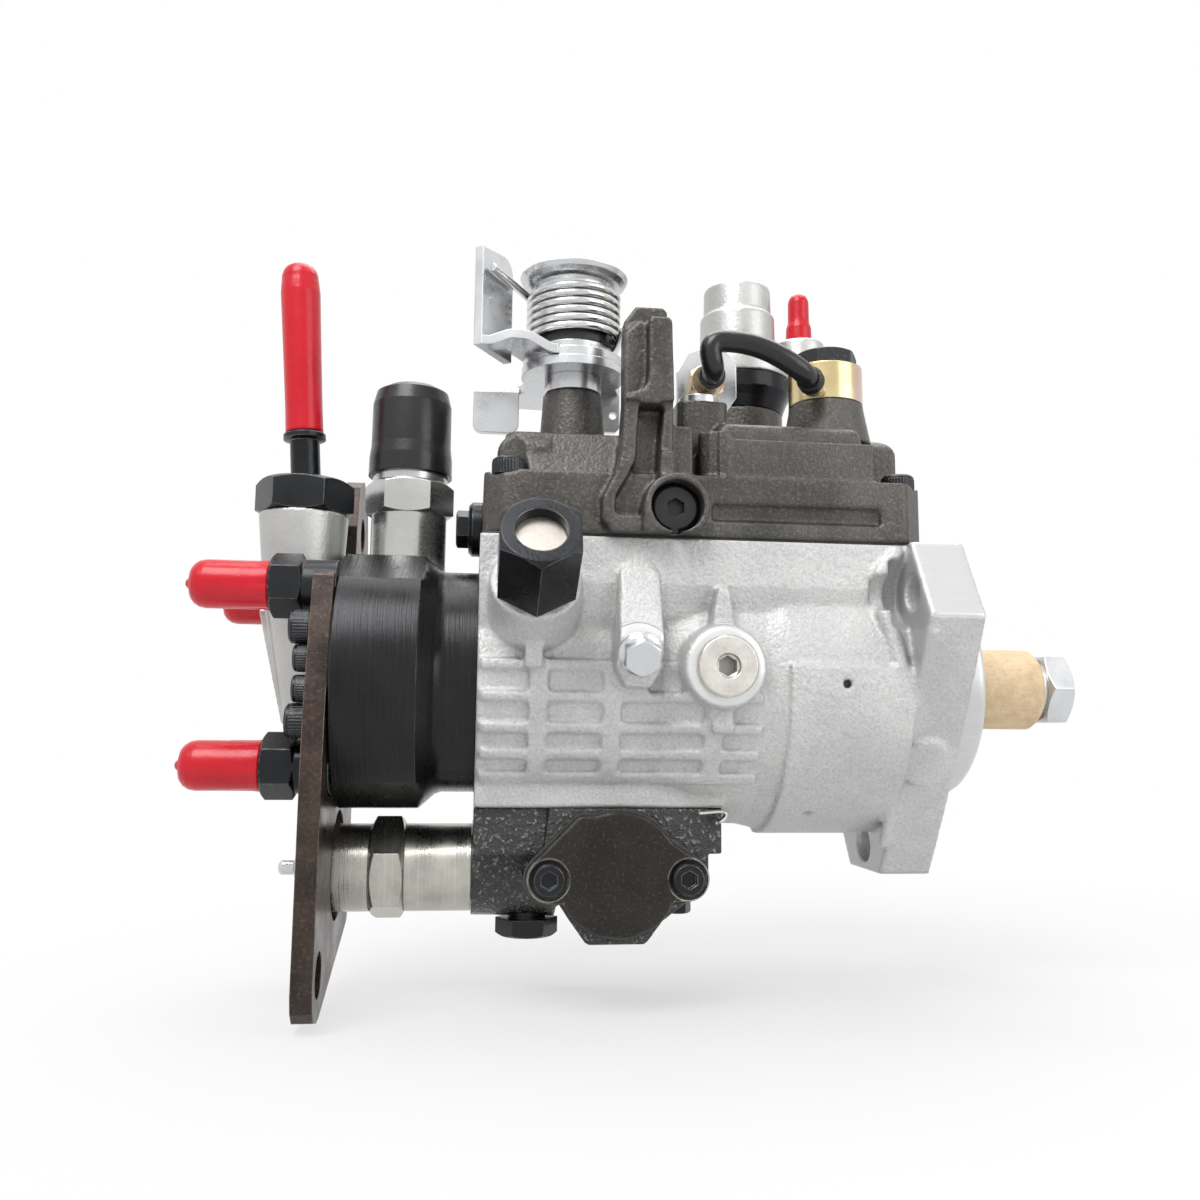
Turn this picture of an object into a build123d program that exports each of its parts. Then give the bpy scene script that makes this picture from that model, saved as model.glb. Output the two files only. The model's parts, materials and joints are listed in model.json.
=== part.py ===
from build123d import *
from math import cos, pi, radians, sin
import os

# Diesel fuel injection pump of the rotary distributor kind, for a four cylinder engine.
# Frame: origin on the drive shaft axis at the front (mating) face of the mounting flange,
# +X along the shaft towards the drive end, +Z up towards the governor cover, millimetres.

os.makedirs("parts", exist_ok=True)

# ---------------------------------------------------------------- driving dimensions
FLANGE_THICK = 16.4          # mounting flange, front face at X = 0
FLANGE_REACH = 59.5          # shaft axis to each machined ear end
FLANGE_EAR = 27.0            # width of each ear end
FLANGE_BULGE = 43.0          # shaft axis to the middle of each long flange side
STUD_CIRCLE_R = 51.5         # three stud holes, evenly spaced
STUD_HOLE_R = 5.3
NUT_POCKET_R = 10.4          # clearance behind the flange for a bolt head or thin nut
NUT_POCKET_DEEP = 6.6
EAR_ANGLES = (30, 150, 270)  # degrees about +X from +Y towards +Z
SPIGOT_R = 35.0
SPIGOT_LEN = 11.3

BODY_REAR = -144.0           # rear end of the main housing, where the hydraulic head enters
BODY_R = 40.0                # barrel radius at the rear
BODY_FRONT_R = 46.0          # barrel radius behind the flange
DECK_Z = 40.8                # joint between main housing and governor cover
DECK_HALF = 42.0             # half width of that joint
DECK_FRONT = -7.0            # front end of the deck
PAD_Z = -38.2                # machined face under the barrel that carries the advance housing
BORE_R = 33.6                # main bore
WALL = 5.0

HEAD_REAR = -185.9           # rear face of the hydraulic head
HEAD_R = 39.9
HEAD_SHOULDER = -161.2
NECK_FRONT_X = -156.4
NECK_R = 34.8
PILOT_END = -132.0
OUTLET_Y = 22.0
OUTLET_Z = 26.5
OUTLET_AF = 17.0
OUTLET_THREAD_R = 6.0

PLATE_THICK = 6.0
PLATE_HOLE_R = 6.5
PLATE_HOLE = (-30.6, -83.8)  # Y, Z of the support plate's lower bolt hole
UPPER_HOLE = (42.0, 54.0)    # Y, Z of the support plate's upper bolt hole

SHAFT_R = 11.95
BEARING_BORE_R = 12.0
SHAFT_THREAD_R = 7.0
NUT_AF = 22.0
SLEEVE_END = 43.0
NUT_END = 55.9
ROTOR_R = 10.96
ROTOR_BORE_R = 11.0

THROTTLE_X = -115.3
THROTTLE_Y = -13.0
THROTTLE_R = 5.0
BOSS_TOP = 91.7             # top of the cover boss that carries the throttle levers
LEVER_Z = 97.3               # underside of the lower lever
LOWER_THICK = 2.9
UPPER_Z = LEVER_Z + LOWER_THICK + 0.2
TIER_Z = 106.6               # top of the upper lever's washer
COIL_R = 14.1
COIL_WIRE_R = 1.26
COIL_PITCH = 2.62
COIL_LOW = 108.7
COIL_TURNS = 6 + 149 / 360   # the upper end leaves 149 degrees on from the lower one
RUN_FIT = 0.05               # radial clearance of turning and sliding fits

VALVE_X, VALVE_Y, VALVE_R = -136.0, 6.0, 3.0
CAM_FRONT = -93.0
CAM_REAR = -110.0
ADVANCE_X = -101.5           # advance piston axis, parallel to Y
ADVANCE_Z = -58.3
ADVANCE_R = 11.0
ADVANCE_FACE_Y = -26.5

UNION_AF = 22.0
UNION_LEN = 23.0
UNION_TILT = 28.0            # inlet union points outwards and up by this many degrees
UNION_BASE = (-128.0, -46.5, 26.4)


# ---------------------------------------------------------------- general helpers
def turned(points):
    """Solid of revolution about Z from (radius, z) points."""
    wire = Polyline([(r, 0, z) for r, z in points], close=True)
    return revolve(make_face(wire), axis=Axis.Z, revolution_arc=360)


def put(shape, origin, direction=(0, 0, 1), x_dir=None):
    """Moves a shape built about Z so that its axis starts at origin and points along direction."""
    return Location(Plane(origin=origin, x_dir=x_dir, z_dir=direction)) * shape


def turned_x(points):
    """Solid of revolution about the shaft axis from (x, radius) points."""
    wire = Polyline([(x, 0, r) for x, r in points], close=True)
    return revolve(make_face(wire), axis=Axis.X, revolution_arc=360)


def round_bar(radius, x_from, x_to):
    return turned_x([(x_from, 0), (x_from, radius), (x_to, radius), (x_to, 0)])


def hex_bar(flats, length, top_chamfer=True, bottom_chamfer=False):
    """Hexagon bar along Z with the corners turned off at its ends, as on a nut."""
    bar = extrude(RegularPolygon(flats / 2, 6, major_radius=False), amount=length)
    corner = flats / 2 * 1.1547
    slope = (corner - flats * 0.485) * 0.55
    reach = corner + 0.5
    rise = slope * (reach - flats * 0.485) / (corner - flats * 0.485)
    low = [(0, 0), (reach, 0)]
    high = [(reach, length), (0, length)]
    if bottom_chamfer:
        low = [(0, 0), (flats * 0.485, 0), (reach, rise)]
    if top_chamfer:
        high = [(reach, length - rise), (flats * 0.485, length), (0, length)]
    return bar & turned(low + high)


def block(x_range, y_range, z_range):
    size = [b - a for a, b in (x_range, y_range, z_range)]
    mid = [(a + b) / 2 for a, b in (x_range, y_range, z_range)]
    return Pos(*mid) * Box(*size)


def profile_yz(points, x_from, x_to):
    """Closed outline of (y, z) points drawn across the shaft and extruded along it."""
    face = make_face(Polyline([(x_from, y, z) for y, z in points], close=True))
    return extrude(face, amount=x_to - x_from, dir=(1, 0, 0))


def profile_xz(points, y_from, y_to):
    """Closed outline of (x, z) points extruded along Y."""
    face = make_face(Polyline([(x, y_from, z) for x, z in points], close=True))
    return extrude(face, amount=y_to - y_from, dir=(0, 1, 0))


def profile_xy(points, z_from, z_to):
    """Closed outline of (x, y) points extruded upwards."""
    face = make_face(Polyline([(x, y, z_from) for x, y in points], close=True))
    return extrude(face, amount=z_to - z_from, dir=(0, 0, 1))


def drill(radius, origin, direction, length):
    return put(Pos(0, 0, length / 2) * Cylinder(radius, length), origin, direction)


def cap_screw(head_r, head_h, socket_af, shank_r, shank_len):
    """Socket head cap screw about Z: head above Z = 0, shank below."""
    edge = head_r * 0.12
    outline = [(0, -shank_len), (shank_r, -shank_len), (shank_r, 0), (head_r, 0),
               (head_r, head_h - edge), (head_r - edge, head_h), (0, head_h)]
    socket = extrude(RegularPolygon(socket_af / 2, 6, major_radius=False), amount=head_h)
    return turned(outline) - Pos(0, 0, head_h * 0.45) * socket


def safe_fillet(shape, edges, radius):
    """Rounds the edges, or leaves the shape as it is where the radius doesn't fit."""
    try:
        return fillet(edges, radius)
    except Exception:
        return shape


# ---------------------------------------------------------------- main housing
def flange_outline(x):
    """Three-eared flange: flat machined ear ends joined by slightly bowed long sides."""
    corners = []
    for angle in EAR_ANGLES:
        out = (cos(radians(angle)), sin(radians(angle)))
        side = (-out[1], out[0])
        for half in (-FLANGE_EAR / 2, FLANGE_EAR / 2):
            corners.append((x, out[0] * FLANGE_REACH + side[0] * half,
                            out[1] * FLANGE_REACH + side[1] * half))
    edges = []
    for index, angle in enumerate(EAR_ANGLES):
        first, second = corners[2 * index], corners[2 * index + 1]
        following = corners[(2 * index + 2) % 6]
        middle = radians(angle + 60)
        edges.append(Line(first, second))
        edges.append(ThreePointArc(
            second,
            (x, cos(middle) * FLANGE_BULGE, sin(middle) * FLANGE_BULGE),
            following))
    return make_face(Wire(edges))


def stud_centre(angle):
    return STUD_CIRCLE_R * cos(radians(angle)), STUD_CIRCLE_R * sin(radians(angle))


RIB_HEIGHT = 1.7
RIB_LEVELS = (3.2, -6.0, -15.0, -22.5, -29.5)
RIB_STATIONS = (-126.4, -105.2, -76.0)
PLUG_X, PLUG_Z = -73.8, 2.8
PLUG_FACE_Y = -50.0
BOLT_X, BOLT_Z = -98.6, 6.0
PANEL_X = (-54.0, -17.0)


def side_ribs():
    """Grid of low cast ribs on the viewer's side of the barrel, and the same on the far side."""
    strips = []
    for level in RIB_LEVELS:
        strips.append(block((BODY_REAR + 1, -62), (-60, 60), (level - 1.4, level + 1.4)))
    for station in RIB_STATIONS:
        strips.append(block((station - 2.6, station + 2.6), (-60, 60), (-30.5, 3.2)))
    grid = strips[0]
    for strip in strips[1:]:
        grid += strip
    skin = turned_x([(BODY_REAR, BODY_R - 2), (BODY_REAR, BODY_R + RIB_HEIGHT),
                     (-92, BODY_R + RIB_HEIGHT), (-80, 44.0 + RIB_HEIGHT),
                     (-62, 44.6 + RIB_HEIGHT), (-62, BODY_R - 2)])
    return grid & skin


def union_axis():
    return (0, -cos(radians(UNION_TILT)), sin(radians(UNION_TILT)))


def main_housing():
    barrel = turned_x([(BODY_REAR, 0), (BODY_REAR, BODY_R), (-92, BODY_R), (-80, 44.0), (-60, 44.6),
                       (-54, BODY_FRONT_R), (-FLANGE_THICK, BODY_FRONT_R), (-FLANGE_THICK, 0)])
    deck = profile_yz([(-DECK_HALF, DECK_Z), (-DECK_HALF, 27), (-39.5, 18), (-30, 0), (30, 0),
                       (39.5, 18), (DECK_HALF, 27), (DECK_HALF, DECK_Z)],
                      BODY_REAR, -FLANGE_THICK)
    shelf = block((-FLANGE_THICK, DECK_FRONT), (-37, 37), (30, DECK_Z))
    pad = block((BODY_REAR, -69), (-27, 27), (PAD_Z, -20))
    flange = extrude(flange_outline(-FLANGE_THICK), amount=FLANGE_THICK, dir=(1, 0, 0))
    spigot = turned_x([(0, 0), (0, SPIGOT_R), (SPIGOT_LEN - 1.2, SPIGOT_R),
                       (SPIGOT_LEN, SPIGOT_R - 1.2), (SPIGOT_LEN, 0)])
    body = barrel + deck + shelf + pad + flange + spigot + side_ribs()
    body -= block((BODY_REAR - 1, -69), (-60, 60), (-70, PAD_Z))
    body -= block((BODY_REAR - 1, DECK_FRONT), (-43.0, 43.0), (DECK_Z, 60))
    # raised smooth panel on the lower front quarter
    panel = turned_x([(PANEL_X[0], 40), (PANEL_X[0], 47.6), (PANEL_X[1], 47.6), (PANEL_X[1], 40)])
    body += panel & block(PANEL_X, (-60, 0), (-60, 4))
    # round boss of the side plug, with cast webs above and below it
    body += put(turned([(0, -14), (13.2, -14), (12.0, -1.0), (10.6, 0), (0, 0)]),
                (PLUG_X, PLUG_FACE_Y, PLUG_Z), (0, -1, 0))
    body += profile_xz([(PLUG_X - 4, 12), (PLUG_X - 1.6, 26), (PLUG_X + 1.6, 26), (PLUG_X + 4, 12)],
                       -46.5, -38)
    body += block((PLUG_X - 3.2, PLUG_X + 3.2), (-45.5, -38), (-16, -6))
    # long inclined boss of the shaft lock bolt
    lock_boss = profile_xz([(BOLT_X - 6.6, 2), (BOLT_X - 5.2, 30), (BOLT_X - 1.5, 34),
                            (BOLT_X + 3.5, 34), (BOLT_X + 6.6, 30), (BOLT_X + 6.6, 2),
                            (BOLT_X + 3.6, -3.4), (BOLT_X - 3.6, -3.4)], -52, -36)
    lean = put(Pos(0, 0, 30) * Box(60, 90, 60), (BOLT_X, -50.4, BOLT_Z + 1), (0, -0.93, -0.36))
    slope = put(Pos(0, 0, 30) * Box(60, 90, 60), (BOLT_X, -50.0, 14), (0, -0.93, 0.36))
    body += lock_boss - lean - slope
    # boss of the inlet union, square to the union
    axis = union_axis()
    body += put(turned([(0, -26), (15.5, -26), (13.0, 0), (0, 0)]), UNION_BASE, axis)
    body += block((UNION_BASE[0] - 2.6, UNION_BASE[0] + 2.6), (-43.5, -38), (2, 12))
    # fillet bosses behind the flange for the stud holes
    for angle in EAR_ANGLES[:2]:
        y, z = stud_centre(angle)
        side = 1 if y > 0 else -1
        body += block((-25, -FLANGE_THICK), (min(side * 36, side * 41), max(side * 36, side * 41)),
                      (6, 36))
    # raised rim round the pocket behind the near upper ear
    rim = FilletPolyline((-18.6, -40.6, 39.0), (-25.6, -42.2, 31.5), (-24.6, -43.0, 22.0),
                         (-20.4, -45.4, 3.0), radius=[4.0, 12.0])
    body += sweep(Plane(origin=rim @ 0, z_dir=rim % 0) * Circle(2.6), path=rim)
    # rounded ridge down the rear edge of the flange, broken by a tongue-shaped lump
    ridge = FilletPolyline((-14.6, -55.0, 14.5), (-14.8, -50.4, 5.0), (-15.6, -44.2, -7.0),
                           (-16.2, -39.0, -17.0), radius=[12.0, 30.0])
    body += sweep(Plane(origin=ridge @ 0, z_dir=ridge % 0) * Circle(2.1), path=ridge)
    low_ridge = FilletPolyline((-17.0, -35.0, -26.0), (-17.6, -29.5, -34.5), (-17.6, -20.0, -50.0),
                               radius=20.0)
    body += sweep(Plane(origin=low_ridge @ 0, z_dir=low_ridge % 0) * Circle(1.5), path=low_ridge)
    body += put(turned([(0, -8), (8.4, -8), (8.0, -0.9), (7.2, 0), (0, 0)]), (-10.2, -37.6, -24.6),
                (0, -0.882, -0.47))
    # inside: stepped bore, bearing and seal seats, opening up into the governor cover
    bore = turned_x([(BODY_REAR - 1, 0), (BODY_REAR - 1, 34.0), (PILOT_END, 34.0),
                     (PILOT_END, BORE_R), (CAM_FRONT + 0.5, BORE_R), (CAM_FRONT + 0.5, 31.0), (-40, 31.0),
                     (-32, 24.0), (-8, 24.0), (-8, 18.0), (-1, 18.0), (-1, 22.0),
                     (SPIGOT_LEN + 1, 22.0), (SPIGOT_LEN + 1, 0)])
    body -= bore
    body -= block((-88, -34), (-24, 24), (10, DECK_Z + 1))
    body -= drill(VALVE_R + 0.6, (VALVE_X, VALVE_Y, 20), (0, 0, 1), 30)
    # slot through which the cam ring's stud reaches the advance piston
    body -= block((ADVANCE_X - 6, ADVANCE_X + 6), (-9, 9), (-45, -25))
    for angle in EAR_ANGLES:
        y, z = stud_centre(angle)
        body -= drill(STUD_HOLE_R, (-FLANGE_THICK - 12, y, z), (1, 0, 0), 40)
        body -= drill(NUT_POCKET_R, (-FLANGE_THICK - NUT_POCKET_DEEP, y, z), (1, 0, 0), NUT_POCKET_DEEP)
    for x, y in COVER_SCREWS:
        body -= drill(3.2, (x, y, 31.5), (0, 0, 1), 20)
    # holes of the side plug, lock bolt and inlet union
    body -= drill(7.5, (PLUG_X, PLUG_FACE_Y - 1, PLUG_Z), (0, 1, 0), 30)
    body -= put(Cylinder(3.0, 40), (BOLT_X, -50.4, BOLT_Z), (0, -0.93, -0.36))
    body -= put(Cylinder(7.0, 40), UNION_BASE, axis)
    body -= put(Pos(0, 0, 15) * Cylinder(13.2, 30), UNION_BASE, axis)
    # two blind jig holes in the smooth panel
    body -= drill(1.4, (-37.5, -48.5, -1.5), (0, 1, 0), 4)
    body -= drill(1.4, (-43.5, -27, -42.0), (0, 0.5, 0.86), 4)
    return body


def cover_gasket():
    ring = block((BODY_REAR + 1, DECK_FRONT - 1), (-41, 41), (DECK_Z, DECK_Z + 0.6))
    ring -= block((-140, -24), (-31, 31), (DECK_Z - 1, DECK_Z + 2))
    for x, y in COVER_SCREWS:
        ring -= drill(3.3, (x, y, DECK_Z - 1), (0, 0, 1), 4)
    return ring


def shaft_seal():
    return turned_x([(1, 12.0), (1, 22.0), (8.5, 22.0), (8.5, 12.0)])


def shaft_bearing():
    return turned_x([(-26, BEARING_BORE_R), (-26, 24.0), (-8, 24.0), (-8, BEARING_BORE_R)])


# ---------------------------------------------------------------- governor cover
COVER_Z = DECK_Z + 0.6
COVER_REAR = -143.3
COVER_FRONT = -8.5
COVER_NEAR = -42.0
COVER_FAR = 42.0
BOOST_X, BOOST_Y = -51.0, 25.0
BANJO_X, BANJO_Y = -31.5, -15.0
PAD_POINT = (-76.0, -24.0)
END_PLUG_Y, END_PLUG_Z = 5.0, 50.6
RECESS_X, RECESS_Z = -87.6, 49.2
COVER_SCREWS = ((-136.0, -36.5), (-15.0, -33.0), (-136.0, 36.0), (-78.0, 37.5), (-15.0, 34.0))


def governor_cover():
    rim = profile_xy([(COVER_REAR, -36), (COVER_REAR + 6, COVER_NEAR), (-16, COVER_NEAR),
                      (COVER_FRONT, -34), (COVER_FRONT, 36), (-16, COVER_FAR),
                      (COVER_REAR + 6, COVER_FAR), (COVER_REAR, 36)], COVER_Z, 60.0)
    rim = safe_fillet(rim, rim.edges().filter_by(Axis.Z), 3.0)
    # left half: sloping shoulders rising to the throttle boss
    left = loft([Pos(-117.0, -2, 59.5) * Rectangle(44, 70), Pos(-118.0, -6, 74.5) * Rectangle(38, 50)])
    left = safe_fillet(left, left.edges().filter_by(lambda e: e.length < 30), 5.0)
    lump = block((-139.4, -124), (-34, -12), (59, 73.8))
    lump = safe_fillet(lump, lump.edges().filter_by(lambda e: e.center().X < -130
                                                    and e.center().Z > 60), 6.0)
    # front half: deep box over the governor springs
    right = loft([Pos(-49.5, 2, 59.5) * Rectangle(49, 80), Pos(-49.8, 2, 79.0) * Rectangle(46, 74)])
    right = safe_fillet(right, right.edges().filter_by(lambda e: e.center().Z > 62), 3.5)
    hump = Pos(-18, 4, 70) * Box(18, 44, 22)
    hump = safe_fillet(hump, hump.edges().filter_by(lambda e: e.center().Z > 70), 6.0)
    boss = put(turned([(0, 0), (12.4, 0), (10.5, 20.0), (9.5, BOSS_TOP - 57.0), (0, BOSS_TOP - 57.0)]),
               (THROTTLE_X, THROTTLE_Y, 57.0))
    seat = put(turned([(0, 0), (14.5, 0), (12.2, 12), (12.0, 14.2), (0, 14.2)]),
               (BANJO_X, BANJO_Y, 77.0))
    pad = block((PAD_POINT[0] - 8, PAD_POINT[0] + 8), (-31, -12), (55, 86.6))
    pad = safe_fillet(pad, pad.edges().filter_by(Axis.Z), 3.0)
    boost = put(Cylinder(16.0, 22), (BOOST_X, BOOST_Y, 88.0)) + \
        put(Cylinder(11.0, 26), (BOOST_X, BOOST_Y, 70.0))
    body = rim + left + lump + right + hump + boss + seat + pad + boost
    # middle neck between the halves
    body += block((-98, -72), (-34, 34), (59, 68))
    # long ledge groove along the front half
    groove = profile_yz([(COVER_NEAR - 1, 45.6), (COVER_NEAR + 2.4, 47.0), (COVER_NEAR + 1.4, 51.4),
                         (COVER_NEAR - 1, 51.8)], -76, -24)
    body -= safe_fillet(groove, groove.edges().filter_by(Axis.Z), 1.5)
    # near left corner of the front half: slanted flank and a rounded upright ridge
    body += profile_xy([(-78.8, -34), (-78.8, -37.2), (-75.6, -40.0), (-74.2, -39.4), (-73.4, -41.0),
                        (-71.0, -41.4), (-69.0, -40.6), (-69.0, -34)], 51.8, 74.6)
    # front wall of the neck beside it
    body += block((-90.0, -81.5), (-41.0, -30), (55.0, 75.0))
    # stepped edge of the front half above the ledge
    body += block((-71.5, -25.5), (-41.0, -36), (53.0, 72.0))
    # round lug that carries the recessed socket plug
    lug = put(Cylinder(9.6, 14), (RECESS_X, -42.0, RECESS_Z), (0, -1, 0))
    lug += block((RECESS_X - 10, RECESS_X + 7.5), (-48.5, -38), (COVER_Z, RECESS_Z))
    body += lug
    # upright arm: solid head above an open channel that kicks over to the left at its foot
    web = profile_xz([(-102.3, 58), (-102.3, 107.6), (-98.6, 112.8), (-90.2, 112.8), (-88.9, 111.4),
                      (-88.9, 50), (-97, 50)], -38.6, -34.0)
    foot = profile_xz([(-102.3, 56), (-102.3, 74), (-88.9, 74), (-88.9, 50), (-97, 50)], -38.6, -26)
    head = profile_xz([(-102.6, 80), (-102.6, 103), (-98.8, 106.8), (-94, 106.8), (-94, 80)], -41.5, -34)
    head += profile_xz([(-100.9, 80), (-100.9, 83.4), (-97.6, 84.2), (-96.0, 86.6), (-95.6, 90.0),
                        (-95.6, 106.0), (-94.8, 106.8), (-89.8, 106.8), (-88.7, 105.6), (-88.1, 80)],
                       -46.5, -34)
    left_wall = profile_xz([(-102.6, 82), (-98.3, 82), (-99.4, 63.5), (-102.2, 57.5), (-105.4, 52),
                            (-105.4, 46.4), (-96.5, 46.4), (-96.5, COVER_Z), (-106.5, COVER_Z),
                            (-109.2, 44.5), (-109.2, 51.5), (-105.6, 58.5), (-103.6, 65)], -46.5, -34)
    right_wall = profile_xz([(-90.6, 82), (-88.1, 82), (-88.3, 55), (-92.6, 58), (-92.0, 68)], -46.5, -34)
    recess = block((-103.8, -98.0), (-47.5, -44.6), (63.2, 81.0)) + \
        block((-92.6, -87.0), (-47.5, -44.6), (65.8, 81.0))
    arm = web + foot + head + left_wall + right_wall - recess
    body += arm
    body -= put(Cylinder(7.7, 9.0), (RECESS_X, -46.5, RECESS_Z), (0, -1, 0))
    body -= put(Cylinder(5.0, 20), (RECESS_X, -40.0, RECESS_Z), (0, -1, 0))
    # screw lands, cavity and bores
    body -= block((-150, 0), (-60, 60), (20, COVER_Z))
    for x, y in COVER_SCREWS:
        body -= drill(5.6, (x, y, 59.0), (0, 0, 1), 20)
        body -= drill(3.2, (x, y, 30.0), (0, 0, 1), 40)
    cavity = block((-139.5, -97), (-29, 29), (COVER_Z - 1, 66)) + \
        block((-98, -75), (-27, 27), (COVER_Z - 1, 60)) + \
        block((-76, -30), (-30, 30), (COVER_Z - 1, 73))
    body -= cavity
    body -= put(Cylinder(THROTTLE_R + RUN_FIT, 60), (THROTTLE_X, THROTTLE_Y, 90))
    body -= put(Cylinder(3.0 + RUN_FIT, 50), (BOOST_X, BOOST_Y, 85))
    body -= put(Cylinder(13.0, 9.0), (BOOST_X, BOOST_Y, 95.0))
    body -= put(Cylinder(4.2, 30), (BANJO_X, BANJO_Y, 85))
    body -= drill(7.0, (-150, END_PLUG_Y, END_PLUG_Z), (1, 0, 0), 12)
    return body


def cover_screws():
    parts = []
    for x, y in COVER_SCREWS:
        parts.append(put(cap_screw(5.0, 5.0, 4.0, 3.15, 26.0), (x, y, 59.0)))
    return Compound(children=parts)


def cover_plug():
    """Black button-shaped socket plug in the round recess."""
    outline = [(0, -11), (4.95, -11), (4.95, 0), (7.3, 0), (7.3, 1.8), (6.2, 3.0), (0, 3.4)]
    socket = extrude(RegularPolygon(2.5, 6, major_radius=False), amount=10)
    return put(turned(outline) - Pos(0, 0, 0.6) * socket, (RECESS_X, -42.0, RECESS_Z), (0, -1, 0))


def cover_end_plug():
    """Plug on the rear end of the cover: round boss, flanged head and a small hexagon."""
    body = turned([(0, -3.6), (6.95, -3.6), (6.95, 0), (9.0, 0), (9.0, 3.2), (7.8, 4.4), (0, 4.4)])
    body += Pos(0, 0, 4.3) * hex_bar(11.0, 4.2)
    return put(body, (COVER_REAR, END_PLUG_Y, END_PLUG_Z), (-1, 0, 0))


# ---------------------------------------------------------------- hydraulic head
def hydraulic_head():
    body = turned_x([(HEAD_REAR, 0), (HEAD_REAR, HEAD_R - 0.8), (HEAD_REAR + 0.8, HEAD_R),
                     (HEAD_SHOULDER, HEAD_R), (NECK_FRONT_X, NECK_R + 0.8), (NECK_FRONT_X + 2, NECK_R),
                     (BODY_REAR, NECK_R), (BODY_REAR, 33.95), (PILOT_END, 33.95), (PILOT_END, 0)])
    for angle in (120.0, -114.0):
        out = (0, cos(radians(angle)), sin(radians(angle)))
        at = tuple(38.7 * c for c in out)
        flat = put(Pos(0, 0, 10) * Box(200, 60, 20), (-173, at[1], at[2]), out, (1, 0, 0))
        body -= flat & block((HEAD_REAR - 1, HEAD_SHOULDER + 2), (-60, 60), (-60, 60))
        body -= put(Cylinder(1.4, 8), (-169.7, at[1], at[2]), out)
    body -= round_bar(ROTOR_BORE_R, HEAD_REAR + 4, PILOT_END + 1)
    for y in (-OUTLET_Y, OUTLET_Y):
        for z in (-OUTLET_Z, OUTLET_Z):
            body -= drill(6.5, (HEAD_REAR - 1, y, z), (1, 0, 0), 14)
    for y, z in PLATE_SCREWS:
        body -= drill(3.0, (HEAD_REAR - 1, y, z), (1, 0, 0), 13)
    body -= drill(VALVE_R + RUN_FIT, (VALVE_X, VALVE_Y, 12.5), (0, 0, 1), 40)
    body -= drill(9.0, (SOLENOID_X, SOLENOID_Y, 24), (0, 0, 1), 40)
    body -= drill(12.4, (SOLENOID_X, SOLENOID_Y, 34), (0, 0, 1), 20)
    return body


SOLENOID_X, SOLENOID_Y = -167.3, 5.0
PLATE_SCREWS = ((-30.5, 13.5), (-30.5, -13.5), (30.5, 13.5), (30.5, -13.5), (-31.0, 4.4), (-31.0, -4.4))


def delivery_unions():
    parts = []
    for y in (-OUTLET_Y, OUTLET_Y):
        for z in (-OUTLET_Z, OUTLET_Z):
            shank = turned([(0, -12), (6.45, -12), (6.45, 0), (8.0, 0), (8.0, 9.8), (0, 9.8)])
            shank += Pos(0, 0, 9.6) * hex_bar(OUTLET_AF, 9.6, True, True)
            shank += Pos(0, 0, 19.0) * turned([(0, 0), (OUTLET_THREAD_R, 0),
                                               (OUTLET_THREAD_R, 13.0), (4.6, 14.5), (0, 14.5)])
            shank -= drill(1.6, (0, 0, 12), (0, 0, 1), 30)
            parts.append(put(shank, (HEAD_REAR, y, z), (-1, 0, 0), (0, 0, 1)))
    return Compound(children=parts)


def outlet_cap(y, z):
    """Push-on vinyl cap with a domed end and a small moulding nipple."""
    inner, outer = OUTLET_THREAD_R + RUN_FIT, 7.25
    outline = [(inner, 0), (outer + 0.25, 0), (outer, 2.0), (outer, 19.0), (outer - 1.2, 21.8),
               (outer - 3.0, 23.0), (1.6, 23.4), (1.0, 24.6), (0, 24.8), (0, 21.0), (inner, 21.0)]
    return put(turned(outline), (HEAD_REAR - 19.25, y, z), (-1, 0, 0))


def support_plate():
    outer_x = HEAD_REAR - PLATE_THICK
    outline = [(-32, 30), (-36.4, 9), (-40, -8), (-41, -24), (-41, -87), (-39.6, -92), (-36, -95.4),
               (-31, -96.6), (-26, -96.2), (36, -79.8), (38.6, -76), (38.6, -20), (62, 30), (62, 54),
               (56, 69), (42, 74), (28, 69), (22.8, 54), (22.8, 20), (12, 16), (-12, 16), (-14, 30)]
    plate = profile_yz(outline, outer_x, HEAD_REAR)
    plate = safe_fillet(plate, plate.edges().filter_by(Axis.X), 2.0)
    for y in (-OUTLET_Y, OUTLET_Y):
        for z in (-OUTLET_Z, OUTLET_Z):
            plate -= drill(9.2, (outer_x - 1, y, z), (1, 0, 0), 10)
    for y, z in PLATE_SCREWS:
        plate -= drill(3.2, (outer_x - 1, y, z), (1, 0, 0), 10)
    plate -= drill(17.0, (outer_x - 1, 4.4, ADVANCE_Z + 0.6), (1, 0, 0), 10)
    for y, z in (PLATE_HOLE, UPPER_HOLE):
        plate -= drill(PLATE_HOLE_R, (outer_x - 1, y, z), (1, 0, 0), 10)
    return plate


def plate_screws():
    parts = []
    for index, (y, z) in enumerate(PLATE_SCREWS):
        big = index < 4
        screw = cap_screw(4.9 if big else 3.9, 6.0 if big else 4.5, 4.6, 2.95, 17)
        parts.append(put(screw, (HEAD_REAR - PLATE_THICK, y, z), (-1, 0, 0)))
    return Compound(children=parts)


# ---------------------------------------------------------------- rear inlet housing
INLET_X, INLET_Y = -200.3, 0.5
INLET_TOP = 52.3
TUBE_LEAN = (-sin(radians(4.0)), 0, cos(radians(4.0)))
TUBE_BEND = INLET_TOP + 12.0         # height at which the inlet pipe starts to lean
TUBE_BORE = 2.6


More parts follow.
